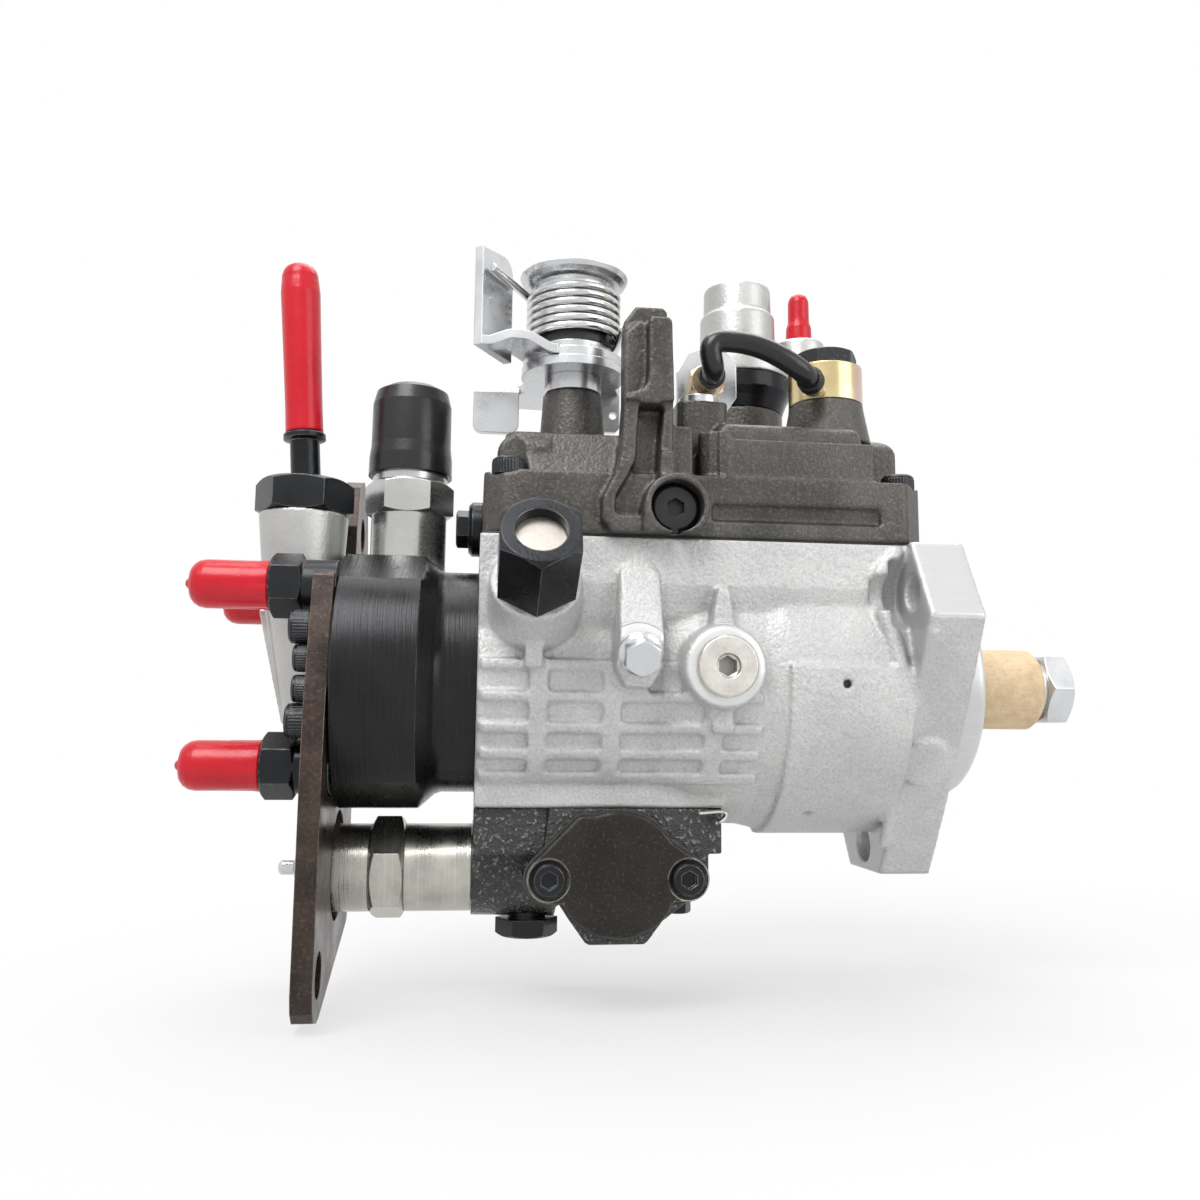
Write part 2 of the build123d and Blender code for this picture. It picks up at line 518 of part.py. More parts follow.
def inlet_housing():
    """Tapered casting on the rear face, upright, cut flat where it meets the plate."""
    cone = loft([Pos(INLET_X, INLET_Y, INLET_TOP) * Circle(14.0),
                 Pos(INLET_X + 0.4, INLET_Y, 36.0) * Circle(12.8)], ruled=True)
    cone += loft([Pos(INLET_X + 0.4, INLET_Y, 36.0) * Circle(12.8),
                  Pos(INLET_X + 5.2, INLET_Y, -18.0) * Circle(7.8)], ruled=True)
    cone -= block((HEAD_REAR - PLATE_THICK, -150), (-40, 40), (-30, 20.5))
    cone -= block((HEAD_REAR, -150), (-40, 40), (-30, 80))
    fin = profile_xz([(-213.0, 22), (-206.0, 22), (-198.8, -14), (-204.4, -14)], -0.6, 1.6)
    body = cone + fin
    body -= drill(11.0, (INLET_X, INLET_Y, INLET_TOP - 20), (0, 0, 1), 30)
    return body


def inlet_cap_nut():
    """Black hexagon cap nut on the inlet casting."""
    body = hex_bar(27.0, 11.0, True, True)
    body += Pos(0, 0, -12) * turned([(0, 0), (10.95, 0), (10.95, 12.1), (0, 12.1)])
    body -= drill(4.2, (0, 0, -13), (0, 0, 1), 40)
    return put(body, (INLET_X, INLET_Y, INLET_TOP))


def inlet_tube():
    """Black inlet pipe with a rolled collar under its protective cap."""
    bend = (INLET_X, INLET_Y, TUBE_BEND)
    pipe = put(turned([(0, -20), (4.2, -20), (4.2, 0), (0, 0)]), bend)
    pipe += put(turned([(0, -0.6), (4.7, -0.6), (4.7, 12.6), (6.7, 13.2), (6.7, 14.8), (4.7, 15.2),
                        (4.7, 35.8), (0, 35.8)]), bend, TUBE_LEAN)
    pipe -= Pos(*bend) * Sphere(TUBE_BORE + 0.6)
    pipe -= drill(TUBE_BORE, bend, (0, 0, -1), 21)
    return pipe - drill(TUBE_BORE, bend, TUBE_LEAN, 37)


def inlet_cap():
    """Long red push-on cap."""
    inner = 4.7 + RUN_FIT
    outline = [(inner, 0), (5.9, 0), (6.4, 44), (6.2, 51.5), (4.8, 55.0), (2.0, 56.2), (0.9, 57.2),
               (0, 57.4), (0, 53), (inner, 53)]
    foot = tuple(base + 15.4 * lean for base, lean in zip((INLET_X, INLET_Y, TUBE_BEND), TUBE_LEAN))
    return put(turned(outline), foot, TUBE_LEAN)


# ---------------------------------------------------------------- shut-off solenoid
def solenoid_body():
    body = turned([(0, 28), (8.95, 28), (8.95, 34), (12.2, 34), (12.2, 53.6), (12.2, 74), (6, 78),
                   (2.6, 78), (2.6, 84), (0, 84)])
    body += Pos(0, 0, 53.6) * hex_bar(25.0, 11.2, True, True)
    body -= drill(4.0 + RUN_FIT, (0, 0, 27), (0, 0, 1), 26)
    return put(body, (SOLENOID_X, SOLENOID_Y, 0))


def solenoid_plunger():
    return put(turned([(0, 26), (1.8, 26), (4.0, 28.5), (4.0, 46), (0, 46)]),
               (SOLENOID_X, SOLENOID_Y, 0))


def solenoid_cap():
    """Black rubber dust cap over the solenoid terminal."""
    inner = 12.2 + RUN_FIT
    outline = [(inner, 0), (13.6, 0), (13.5, 6), (13.0, 10), (12.9, 24), (11.8, 28.4), (8.5, 30.3),
               (0, 31.0), (0, 18), (inner - 2, 18), (inner, 12)]
    return put(turned(outline), (SOLENOID_X, SOLENOID_Y, 67.3))


# ---------------------------------------------------------------- fittings on the housing side
def inlet_union():
    body = hex_bar(UNION_AF, UNION_LEN, True, False)
    body += turned([(0, -12), (6.95, -12), (6.95, 0.1), (0, 0.1)])
    body -= drill(7.2, (0, 0, UNION_LEN - 9), (0, 0, 1), 20)
    body -= drill(3.0, (0, 0, -13), (0, 0, 1), 40)
    return put(body, UNION_BASE, union_axis(), (0, sin(radians(UNION_TILT)), cos(radians(UNION_TILT))))


def union_disc():
    """Thin blanking disc pressed into the union's mouth."""
    return put(Pos(0, 0, UNION_LEN - 4.2) * Cylinder(7.15, 1.6), UNION_BASE, union_axis())


def side_plug():
    outline = [(0, -12), (7.45, -12), (7.45, 0), (8.9, 0), (8.9, 1.6), (8.3, 2.4), (0, 2.4)]
    socket = extrude(RegularPolygon(2.6, 6, major_radius=False), amount=10)
    body = turned(outline) - Pos(0, 0, -3.0) * socket
    body -= Pos(0, 0, 1.2) * turned([(0, 0), (3.2, 0), (3.7, 1.4), (0, 1.4)])
    return put(body, (PLUG_X, PLUG_FACE_Y, PLUG_Z), (0, -1, 0))


def shaft_lock_bolt():
    flange = turned([(0, -12), (2.95, -12), (2.95, 0), (6.4, 0), (6.4, 0.8), (5.2, 1.8), (0, 1.8)])
    body = flange + Pos(0, 0, 1.6) * hex_bar(9.6, 4.4)
    return put(body, (BOLT_X, -50.4, BOLT_Z), (0, -0.93, -0.36))


# ---------------------------------------------------------------- advance unit
def advance_housing():
    rear_tube = turned_x([(-144.2, 0), (-144.2, 14.6), (-118, 15.2), (-118, 0)])
    rear_tube = Pos(0, 3.0, ADVANCE_Z) * rear_tube
    top = block((-144.0, -69.5), (-24, 26), (-52, PAD_Z))
    middle = profile_xz([(-122, PAD_Z), (-124, -58), (-116, -70), (-110.5, -77.5), (-93.0, -77.5),
                         (-88, -71), (-78.5, -64), (-74, -58), (-74, PAD_Z)], ADVANCE_FACE_Y, 26)
    body = rear_tube + top + middle
    body += block((-144.0, -120), (-14, 20), (-60, -45))
    body = safe_fillet(body, body.edges().filter_by(Axis.Y).filter_by(
        lambda e: e.center().Z < -70), 2.0)
    body += put(Pos(0, 0, -4) * Cylinder(5.2, 8), (-78.8, 0, -67.8), (0, 0, -1))
    body -= put(Cylinder(ADVANCE_R + RUN_FIT, 50), (ADVANCE_X, -2.0, ADVANCE_Z), (0, 1, 0))
    body -= block((ADVANCE_X - 6, ADVANCE_X + 6), (-9, 9), (-60, PAD_Z + 1))
    body -= Pos(0, 3.0, ADVANCE_Z) * round_bar(10.0, -150, -126)
    for x in (ADVANCE_X - 20.5, ADVANCE_X + 20.5):
        body -= drill(3.0, (x, ADVANCE_FACE_Y - 1, ADVANCE_Z - 0.2), (0, 1, 0), 16)
    body -= drill(6.0, (-126.5, 3, -80), (0, 0, 1), 14)
    body -= drill(3.0, (-78.8, 0, -80), (0, 0, 1), 22)
    return body


def diamond(amount, grow, y):
    """Outline of the advance cover: two screw ears, round belly, flat top."""
    ear_left = (ADVANCE_X - 20.5, ADVANCE_Z - 0.2)
    ear_right = (ADVANCE_X + 20.5, ADVANCE_Z - 0.2)
    top = -40.2
    hull = make_hull(
        [edge for centre, radius in ((ear_left, 6.8), (ear_right, 6.4),
                                     ((-112.0, top - 3.0), 3.0), ((-99.0, top - 5.0), 5.0))
         for edge in (Pos(centre[0], centre[1]) * Circle(radius + grow)).edges()])
    shape = hull + Pos(ADVANCE_X, ADVANCE_Z + 1.2) * Circle(18.2 + grow)
    solid = extrude(shape, amount=amount)
    return Location(Plane(origin=(0, y, 0), x_dir=(1, 0, 0), z_dir=(0, -1, 0))) * solid


def advance_gasket():
    plate = diamond(0.8, 0.5, ADVANCE_FACE_Y)
    for x in (ADVANCE_X - 20.5, ADVANCE_X + 20.5):
        plate -= drill(3.1, (x, ADVANCE_FACE_Y - 3, ADVANCE_Z - 0.2), (0, 1, 0), 6)
    return plate


def advance_cover():
    plate = diamond(3.4, 0.0, ADVANCE_FACE_Y - 0.8)
    plate = safe_fillet(plate, plate.faces().sort_by(Axis.Y)[0].edges(), 0.8)
    for x in (ADVANCE_X - 20.5, ADVANCE_X + 20.5):
        plate -= drill(3.1, (x, ADVANCE_FACE_Y - 8, ADVANCE_Z - 0.2), (0, 1, 0), 12)
        plate -= drill(5.9, (x, ADVANCE_FACE_Y - 10.2, ADVANCE_Z - 0.2), (0, 1, 0), 8)
    return plate


def advance_screws():
    parts = []
    for x in (ADVANCE_X - 20.5, ADVANCE_X + 20.5):
        parts.append(put(cap_screw(4.9, 3.4, 4.6, 2.95, 14),
                         (x, ADVANCE_FACE_Y - 2.2, ADVANCE_Z - 0.2), (0, -1, 0)))
    return Compound(children=parts)


def advance_piston():
    body = turned([(0, -17), (ADVANCE_R, -17), (ADVANCE_R, 16), (0, 16)])
    body -= drill(7.0, (0, 0, -18), (0, 0, 1), 9)
    body = put(body, (ADVANCE_X, 0, ADVANCE_Z), (0, 1, 0))
    return body - drill(4.3, (ADVANCE_X, 0, ADVANCE_Z - 6), (0, 0, 1), 30)


def advance_spring():
    """Compression spring between the piston and the advance cover."""
    coil = Helix(pitch=3.2, height=14.6, radius=5.4)
    body = sweep(Plane(origin=coil @ 0, z_dir=coil % 0) * Circle(0.8), path=coil, is_frenet=True)
    return put(body, (ADVANCE_X, -25.5, ADVANCE_Z), (0, 1, 0))


def cold_start_sleeve():
    """Steel sleeve of the cold start device: barrel, hexagon band and turned end."""
    body = turned_x([(-196.0, 0), (-196.0, 10.8), (-194.0, 13.4), (-175.4, 13.4), (-175.4, 12.4),
                     (-164.6, 12.4), (-164.6, 13.4), (-144.3, 13.4), (-144.3, 9.95), (-128, 9.95),
                     (-128, 0)])
    corner = (0, cos(radians(40)), sin(radians(40)))
    body += put(hex_bar(28.0, 10.2, True, True), (-175.0, 0, 0), (1, 0, 0), corner)
    body -= round_bar(5.0, -190, -127)
    body -= round_bar(2.4, -197, -186)
    return Pos(0, 3.0, ADVANCE_Z) * body


def bleed_nipple():
    body = turned([(0, -5), (2.35, -5), (2.35, 0), (3.6, 0.2), (3.6, 2.2), (2.2, 3.0), (2.2, 6.6),
                   (1.5, 7.4), (0, 7.8)])
    return put(body, (-196.0, 3.0, ADVANCE_Z), (-1, 0, 0))


def advance_plugs():
    big = hex_bar(17.0, 5.5, True) + turned([(0, -4.5), (5.95, -4.5), (5.95, 0.1), (0, 0.1)])
    small = hex_bar(8.0, 4.6, True) + turned([(0, -9), (2.95, -9), (2.95, 0.1), (0, 0.1)])
    return Compound(children=[put(big, (-126.5, 3, -73.8), (0, 0, -1)),
                              put(small, (-78.8, 0, -67.9), (0, 0, -1))])


def wire_clip():
    """Bent wire tab beside the advance housing."""
    path = FilletPolyline((-73.1, -26.2, -38.95), (-71.2, -26.2, -41.4), (-69.4, -26.2, -38.95),
                          radius=0.9)
    return sweep(Plane(origin=path @ 0, z_dir=path % 0) * Circle(0.7), path=path)


# ---------------------------------------------------------------- drive shaft group
def drive_shaft():
    body = turned_x([(-92.5, 0), (-92.5, 14), (-86, 14), (-86, 10), (-60, 10), (-60, SHAFT_R),
                     (10.0, SHAFT_R), (38.0, 9.2), (38.0, SHAFT_THREAD_R), (NUT_END - 1.0, SHAFT_THREAD_R),
                     (NUT_END, SHAFT_THREAD_R - 1), (NUT_END, 0)])
    keyway = block((16, 32), (-2, 2), (8.4, 14))
    return body - keyway


def shaft_nut():
    body = hex_bar(NUT_AF, NUT_END - 2.0 - 45.2, True, True)
    body -= drill(SHAFT_THREAD_R, (0, 0, -1), (0, 0, 1), 20)
    washer = turned_x([(SLEEVE_END, SHAFT_THREAD_R), (SLEEVE_END, 9.6), (45.1, 9.6),
                       (45.1, SHAFT_THREAD_R)])
    return Compound(children=[put(body, (45.2, 0, 0), (1, 0, 0), (0, -1, 0)), washer])


def shaft_sleeve():
    """Kraft board transit sleeve over the taper."""
    return turned_x([(11.8, 12.3), (11.8, 13.5), (SLEEVE_END, 13.5), (SLEEVE_END, 7.4), (38.4, 7.4),
                     (38.4, 12.3)])


def governor_weights():
    """Flyweight carrier on the shaft with its six weights."""
    carrier = turned_x([(-86, 10.05), (-86, 21.0), (-83.5, 21.0), (-83.5, 12.0), (-62, 12.0),
                        (-62, 10.05)])
    weight = block((-83.2, -64), (-5.5, 5.5), (16.0, 27.0))
    weight = chamfer(weight.edges().filter_by(Axis.X), 1.8)
    foot = block((-83.2, -79), (-4, 4), (12.3, 17.0))
    parts = [carrier]
    for index in range(6):
        parts.append(Rot(X=60 * index) * (weight + foot))
    return Compound(children=parts)


def distributor_rotor():
    """Rotor with its ported stem, and the roller shoes that ride inside the cam ring."""
    body = turned_x([(-181.5, 0), (-181.5, ROTOR_R), (-130, ROTOR_R), (-130, 17.5), (-113, 17.5),
                     (-113, 10), (-92.5, 10), (-92.5, 0)])
    body -= put(Cylinder(4.05, 50), (-101.5, 0, 0), (0, 0, 1))
    return Compound(children=[body] + pump_rollers())


def pump_rollers():
    """Two roller shoes with their rollers inside the cam ring."""
    parts = []
    for side in (-1, 1):
        shoe = block((-109, -94.5), (-9, 9), (12.5, 19.0))
        shoe -= put(Cylinder(5.0, 30), (-101.7, 0, 20.4), (1, 0, 0))
        roller = put(Cylinder(4.9, 13.5), (-101.7, 0, 20.4), (1, 0, 0))
        turn = Rot(X=0 if side > 0 else 180)
        parts.append(turn * shoe)
        parts.append(turn * roller)
    return parts


def cam_ring():
    """Internal cam ring with four lobes and the stud that the advance piston moves."""
    ring = turned_x([(CAM_REAR, 0), (CAM_REAR, BORE_R - 0.06), (CAM_FRONT, BORE_R - 0.06),
                     (CAM_FRONT, 0)])
    ring -= round_bar(27.6, CAM_REAR - 1, CAM_FRONT + 1)
    for index in range(4):
        lobe = Rot(X=45 + 90 * index) * put(Cylinder(9.0, 16.0), (ADVANCE_X, 0, 35.4), (1, 0, 0))
        lobe &= turned_x([(CAM_REAR + 0.5, 20), (CAM_REAR + 0.5, 31), (CAM_FRONT - 0.5, 31),
                          (CAM_FRONT - 0.5, 20)])
        ring += lobe
    stud = put(turned([(0, 0), (3.2, 0), (4.1, 3.6), (3.2, 7.2), (3.0, 31), (0, 31)]),
               (ADVANCE_X, 0, ADVANCE_Z - 3.6))
    return ring + stud


# ---------------------------------------------------------------- throttle group
def throttle_shaft():
    """Vertical throttle shaft with its inner arm under the cover."""
    body = turned([(0, 50), (THROTTLE_R, 50), (THROTTLE_R, 118), (0, 118)])
    arm = Pos(0, 0, 52) * extrude(Pos(7, 0) * SlotCenterToCenter(13, 9), amount=5)
    return put(body + arm, (THROTTLE_X, THROTTLE_Y, 0))


def throttle_bush():
    """Steel spacer bush between the cover boss and the levers."""
    low = BOSS_TOP + 0.3
    return put(turned([(THROTTLE_R, low), (9.1, low), (9.1, LEVER_Z), (THROTTLE_R, LEVER_Z)]),
               (THROTTLE_X, THROTTLE_Y, 0))


def lower_lever():
    """Stop lever: disc, an arm to the rear left bent down into a tab, and a drilled tab at the right."""
    disc = put(Cylinder(16.6, LOWER_THICK, align=(Align.CENTER, Align.CENTER, Align.MIN)),
               (THROTTLE_X, THROTTLE_Y, LEVER_Z))
    top = LEVER_Z + LOWER_THICK
    arm = profile_xy([(-108, -4), (-112, 12), (-122, 20.4), (-134, 19.4), (-147, 17.0), (-147, 5.6),
                      (-133, 5.6), (-130.4, 1.0), (-129.0, -8)], LEVER_Z, top)
    drop = profile_yz([(6, top), (4.6, top - 0.3), (3.4, top - 1.2), (3.0, top - 2.6), (3.0, 83.6),
                       (5.7, 83.6), (5.7, LEVER_Z)], -147.2, -132.0)
    drop = safe_fillet(drop, drop.edges().filter_by(Axis.Y).filter_by(
        lambda e: e.center().Z < 84), 3.0)
    tab = profile_xz([(-110, LEVER_Z), (-110, 86), (-108.5, 84.6), (-99.5, 84.6), (-98.2, 86),
                      (-98.2, top), (-110, top)], 0.0, 2.6)
    tab -= put(Cylinder(1.3, 12), (-100.4, 1.3, 90.2), (0, 1, 0))
    neck = profile_xy([(-112, -8), (-110, 2.6), (-98.2, 2.6), (-101, -8)], LEVER_Z, top)
    body = disc + arm + drop + tab + neck
    return body - drill(THROTTLE_R, (THROTTLE_X, THROTTLE_Y, 90), (0, 0, 1), 30)


def throttle_lever():
    """Throttle lever: washer and a joggled arm that ends in an upright tab for the spring."""
    base = Cylinder(16.2, 2.8, align=(Align.CENTER, Align.CENTER, Align.MIN))
    washer = Cylinder(12.6, TIER_Z - UPPER_Z, align=(Align.CENTER, Align.CENTER, Align.MIN))
    plate = put(base + washer, (THROTTLE_X, THROTTLE_Y, UPPER_Z))
    thick = 2.8
    near, far = (-145.0, -31.4), (-135.4, -15.4)
    run = Vector(far[0] - near[0], far[1] - near[1]).normalized()
    out = Vector(-run.Y, run.X)
    # the joggle, followed along X through the middle of the sheet
    wave = FilletPolyline((-152, 0, 102.6), (-142.4, 0, 102.6), (-136.2, 0, 105.4), (-130.4, 0, 105.4),
                          (-123.4, 0, UPPER_Z + thick / 2), (-108, 0, UPPER_Z + thick / 2),
                          radius=[4.0, 5.0, 6.0, 7.0])
    sheet = sweep(Plane(origin=wave @ 0, x_dir=(0, 1, 0), z_dir=wave % 0) * Rectangle(90, thick),
                  path=wave)
    plan = profile_xy([near, (-121.4, -29.0), (-112, -13), (-129.6, -6.5), far,
                       (far[0] + out.X * thick, far[1] + out.Y * thick),
                       (near[0] + out.X * thick, near[1] + out.Y * thick)], 95, 112)
    arm = sheet & plan
    corners = [(near, 101.2), (near, 132.7), (far, 135.4), (far, 101.2)]
    upright = extrude(make_face(Polyline([(x, y, z) for (x, y), z in corners], close=True)),
                      amount=thick, dir=(out.X, out.Y, 0))
    upright = safe_fillet(upright, upright.edges().filter_by(
        lambda e: e.center().Z > 132 and abs(e.length - thick) < 0.2).sort_by(Axis.X)[-1:], 5.0)
    upright = safe_fillet(upright, upright.edges().filter_by(
        lambda e: e.center().Z < 101.3).sort_by(Axis.X)[:1], 2.4)
    return plate + arm + upright - drill(THROTTLE_R, (THROTTLE_X, THROTTLE_Y, 90), (0, 0, 1), 30)


def spring_cup():
    """Pressed cup with a flared rim that carries the torsion spring."""
    outline = [(THROTTLE_R, 110.8), (10.8, 110.8), (12.3, 112.6), (12.3, 124.6), (12.45, 126.6),
               (13.2, 127.6), (15.0, 128.3), (16.7, 129.4), (17.6, 130.9), (17.2, 131.3),
               (16.2, 130.2), (14.6, 129.3), (12.6, 128.7), (11.6, 127.0), (11.4, 124.8),
               (11.4, 113.0), (10.4, 111.8), (THROTTLE_R, 111.8)]
    return put(turned(outline), (THROTTLE_X, THROTTLE_Y, 0))


def spring_bush():
    """Black nylon bush under the spring, with its locating lug."""
    low = TIER_Z + 0.1
    body = turned([(THROTTLE_R, low), (12.5, low), (12.5, 110.6), (THROTTLE_R, 110.6)])
    body += Rot(Z=-38) * block((9, 14.3), (-2.2, 2.2), (low, 109.4))
    return put(body, (THROTTLE_X, THROTTLE_Y, 0))


def throttle_spring():
    """Close-wound torsion spring with a straight tang at each end."""
    coil = Helix(pitch=COIL_PITCH, height=COIL_PITCH * COIL_TURNS, radius=COIL_R)
    body = sweep(Plane(origin=coil @ 0, z_dir=coil % 0) * Circle(COIL_WIRE_R), path=coil,
                 is_frenet=True)
    upper = Cylinder(COIL_WIRE_R, 28.6, align=(Align.CENTER, Align.CENTER, Align.MIN))
    lower = Cylinder(COIL_WIRE_R, 18.5, align=(Align.CENTER, Align.CENTER, Align.MIN))
    body += put(upper, coil @ 1, coil % 1)
    body += put(lower, coil @ 0, (coil % 0) * -1)
    return Pos(THROTTLE_X, THROTTLE_Y, COIL_LOW) * body


def metering_valve():
    """Rotary metering valve with its arm in the cover."""
    body = turned([(0, 13), (VALVE_R, 13), (VALVE_R, 45.5), (2.0, 45.5), (2.0, 49), (0, 49)])
    arm = Pos(0, 0, 45.5) * extrude(Pos(5, 0) * SlotCenterToCenter(11, 6), amount=2.4)
    body += arm
    body -= block((-5, 5), (0.8, 5), (17, 24))
    return put(body, (VALVE_X, VALVE_Y, 0))


# ---------------------------------------------------------------- boost capsule
def boost_body():
    """Black lower half of the boost control over the cover."""
    body = turned([(0, 99.0), (16, 99.0), (17.5, 103), (19.0, 106), (19.0, 111.2), (0, 111.2)])
    body -= Pos(0, 0, 105) * turned([(0, 0), (15.5, 0), (15.5, 7), (0, 7)])
    body -= drill(3.0 + RUN_FIT, (0, 0, 90), (0, 0, 1), 30)
    return put(body, (BOOST_X, BOOST_Y, 0))


def boost_cover():
    """Alloy upper half: flange, two-step dome and the stub of the air port."""
    body = turned([(0, 111.4), (19.6, 111.4), (19.6, 117.5), (17.0, 120.5), (13.8, 121.5),
                   (13.6, 136.0), (12.4, 137.2), (12.2, 146.8), (11.0, 148.0), (0, 148.0)])
    body = put(body, (BOOST_X, BOOST_Y, 0))
    shelf = Pos(-31, 27, 114.9) * Cylinder(11.5, 7.0)
    boss = put(turned([(0, 118), (9.4, 118), (9.2, 129.4), (8.4, 130.2), (0, 130.2)]), (-25.9, 30, 0))
    stub = put(turned([(0, 130), (3.2, 130), (3.2, 144), (0, 144)]), (-25.9, 30, 0))
    bridge = profile_xy([(-45, 18), (-22, 21), (-20, 38), (-45, 40)], 111.4, 118.5)
    body += shelf + boss + stub + bridge
    body -= put(turned([(0, 110), (15.5, 110), (15.5, 117), (9, 119.5), (9, 140), (0, 140)]),
                (BOOST_X, BOOST_Y, 0))
    return body


def boost_diaphragm():
    """Diaphragm plate and its push rod."""
    body = turned([(0, 68), (3.0, 68), (3.0, 111.5), (14.6, 111.5), (14.6, 113.2), (6, 113.2),
                   (6, 115.0), (0, 115.0)])
    return put(body, (BOOST_X, BOOST_Y, 0))


def port_cap():
    inner = 3.2 + RUN_FIT
    outline = [(inner, 0), (4.9, 0), (4.7, 6.5), (4.0, 8.0), (3.9, 16.5), (2.8, 18.8), (0, 19.6),
               (0, 15.0), (inner, 15.0)]
    return put(turned(outline), (-25.9, 30, 130.4))


# ---------------------------------------------------------------- back-leak line
def banjo_ring():
    body = turned([(4.2, 91.2), (12.0, 91.2), (12.0, 103.4), (4.2, 103.4)])
    body = put(body, (BANJO_X, BANJO_Y, 0))
    stub = put(Cylinder(2.6, 8), (BANJO_X - 6.5, BANJO_Y - 10.4, SPOUT_Z), (-0.53, -0.85, 0))
    return body + (stub - put(Cylinder(11.9, 30), (BANJO_X, BANJO_Y, 97)))


def banjo_bolt():
    body = hex_bar(19.0, 5.6, True) + turned([(0, -32), (4.15, -32), (4.15, 0.1), (0, 0.1)])
    return put(body, (BANJO_X, BANJO_Y, 103.4))


def leak_bracket():
    """Bright bracket: washer pad with an upright rounded plate."""
    pad = put(turned([(2.6, 86.6), (6.6, 86.6), (6.6, 89.0), (2.6, 89.0)]), PAD_POINT + (0,))
    plate = profile_xz([(-82.0, 87.0), (-82.0, 100), (-78.5, 106.5), (-72, 109), (-66, 108),
                        (-62.5, 103), (-62.5, 92), (-66, 87.0)], -18.6, -16.4)
    foot = block((-81, -71), (-19, -16.5), (86.6, 89.0))
    hole = put(Cylinder(3.05, 12), (LEAK_X, -17.5, LEAK_Z), (0, 1, 0))
    return pad + foot + plate - hole


LEAK_X, LEAK_Z = -73.0, 95.6


def leak_nut():
    """Brass union nut that holds the back-leak spout in the bracket."""
    body = hex_bar(11.0, 5.0, True) + turned([(0, -7), (3.0, -7), (3.0, 0.1), (0, 0.1)])
    body += Pos(0, 0, 4.9) * turned([(0, 0), (2.4, 0), (2.4, 4.0), (0, 4.0)])
    return put(body, (LEAK_X, -18.6, LEAK_Z), (0, -1, 0))


HOSE_R = 3.4
SPOUT_Z = 94.2               # height of the banjo ring's spout
HOSE_ROUTE = [(LEAK_X, -28.3, LEAK_Z), (-74.0, -37.8, 93.0), (-76.4, -38.6, 103.0),
              (-66.0, -38.0, 103.6), (-58.0, -37.8, 101.8), (-50.2, -37.4, 98.0),
              (-43.9, -35.0, 94.8), (BANJO_X - 8.85, BANJO_Y - 14.2, SPOUT_Z)]


def hose_radii(points):
    radii = []
    for before, at, after in zip(points, points[1:], points[2:]):
        first = Vector(*at) - Vector(*before)
        second = Vector(*after) - Vector(*at)
        turn = first.get_angle(second)
        shorter = min(first.length, second.length)
        half = radians(turn / 2)
        radii.append(0.45 * shorter * cos(half) / sin(half))
    return radii


def leak_hose():
    radii = hose_radii(HOSE_ROUTE)
    print("hose bend radii", [round(r, 1) for r in radii])
    path = FilletPolyline(*HOSE_ROUTE, radius=radii)
    hose = sweep(Plane(origin=path @ 0, z_dir=path % 0) * Circle(HOSE_R), path=path)
    print("hose volume ratio", round(hose.volume / (path.length * pi * HOSE_R ** 2), 4),
          "length", round(path.length, 1))
    return hose


# ---------------------------------------------------------------- writing the parts
PARTS = {
    "main_housing": main_housing, "cover_gasket": cover_gasket, "shaft_seal": shaft_seal,
    "shaft_bearing": shaft_bearing, "governor_cover": governor_cover, "cover_screws": cover_screws,
    "cover_plug": cover_plug, "cover_end_plug": cover_end_plug, "hydraulic_head": hydraulic_head,
    "delivery_unions": delivery_unions, "support_plate": support_plate, "plate_screws": plate_screws,
    "inlet_housing": inlet_housing, "inlet_cap_nut": inlet_cap_nut, "inlet_tube": inlet_tube,
    "inlet_cap": inlet_cap, "solenoid_body": solenoid_body, "solenoid_plunger": solenoid_plunger,
    "solenoid_cap": solenoid_cap, "inlet_union": inlet_union,
    "union_disc": union_disc, "side_plug": side_plug, "shaft_lock_bolt": shaft_lock_bolt,
    "advance_housing": advance_housing, "advance_gasket": advance_gasket,
    "advance_cover": advance_cover, "advance_screws": advance_screws,
    "advance_piston": advance_piston, "advance_spring": advance_spring,
    "cold_start_sleeve": cold_start_sleeve, "bleed_nipple": bleed_nipple,
    "advance_plugs": advance_plugs, "wire_clip": wire_clip, "drive_shaft": drive_shaft,
    "shaft_nut": shaft_nut, "shaft_sleeve": shaft_sleeve,
    "governor_weights": governor_weights,
    "distributor_rotor": distributor_rotor, "cam_ring": cam_ring,
    "throttle_shaft": throttle_shaft, "throttle_bush": throttle_bush, "lower_lever": lower_lever,
    "throttle_lever": throttle_lever, "spring_cup": spring_cup, "spring_bush": spring_bush,
    "throttle_spring": throttle_spring, "metering_valve": metering_valve, "boost_body": boost_body,
    "boost_cover": boost_cover, "boost_diaphragm": boost_diaphragm,
    "port_cap": port_cap, "banjo_ring": banjo_ring, "banjo_bolt": banjo_bolt,
    "leak_bracket": leak_bracket, "leak_nut": leak_nut, "leak_hose": leak_hose,
}

for node, make in PARTS.items():
    export_step(make(), f"parts/{node}.step")
for index, (y, z) in enumerate(((-1, 1), (-1, -1), (1, 1), (1, -1))):
    export_step(outlet_cap(y * OUTLET_Y, z * OUTLET_Z), f"parts/outlet_cap_{index + 1}.step")
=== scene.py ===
"""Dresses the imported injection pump: cast skins, plated steel, vinyl caps, floor and camera."""

import json
import logging
import math
from dataclasses import dataclass, field
from enum import Enum
from typing import Optional, Sequence, Union

import bmesh
import bpy
import numpy as np
from mathutils import Matrix, Vector


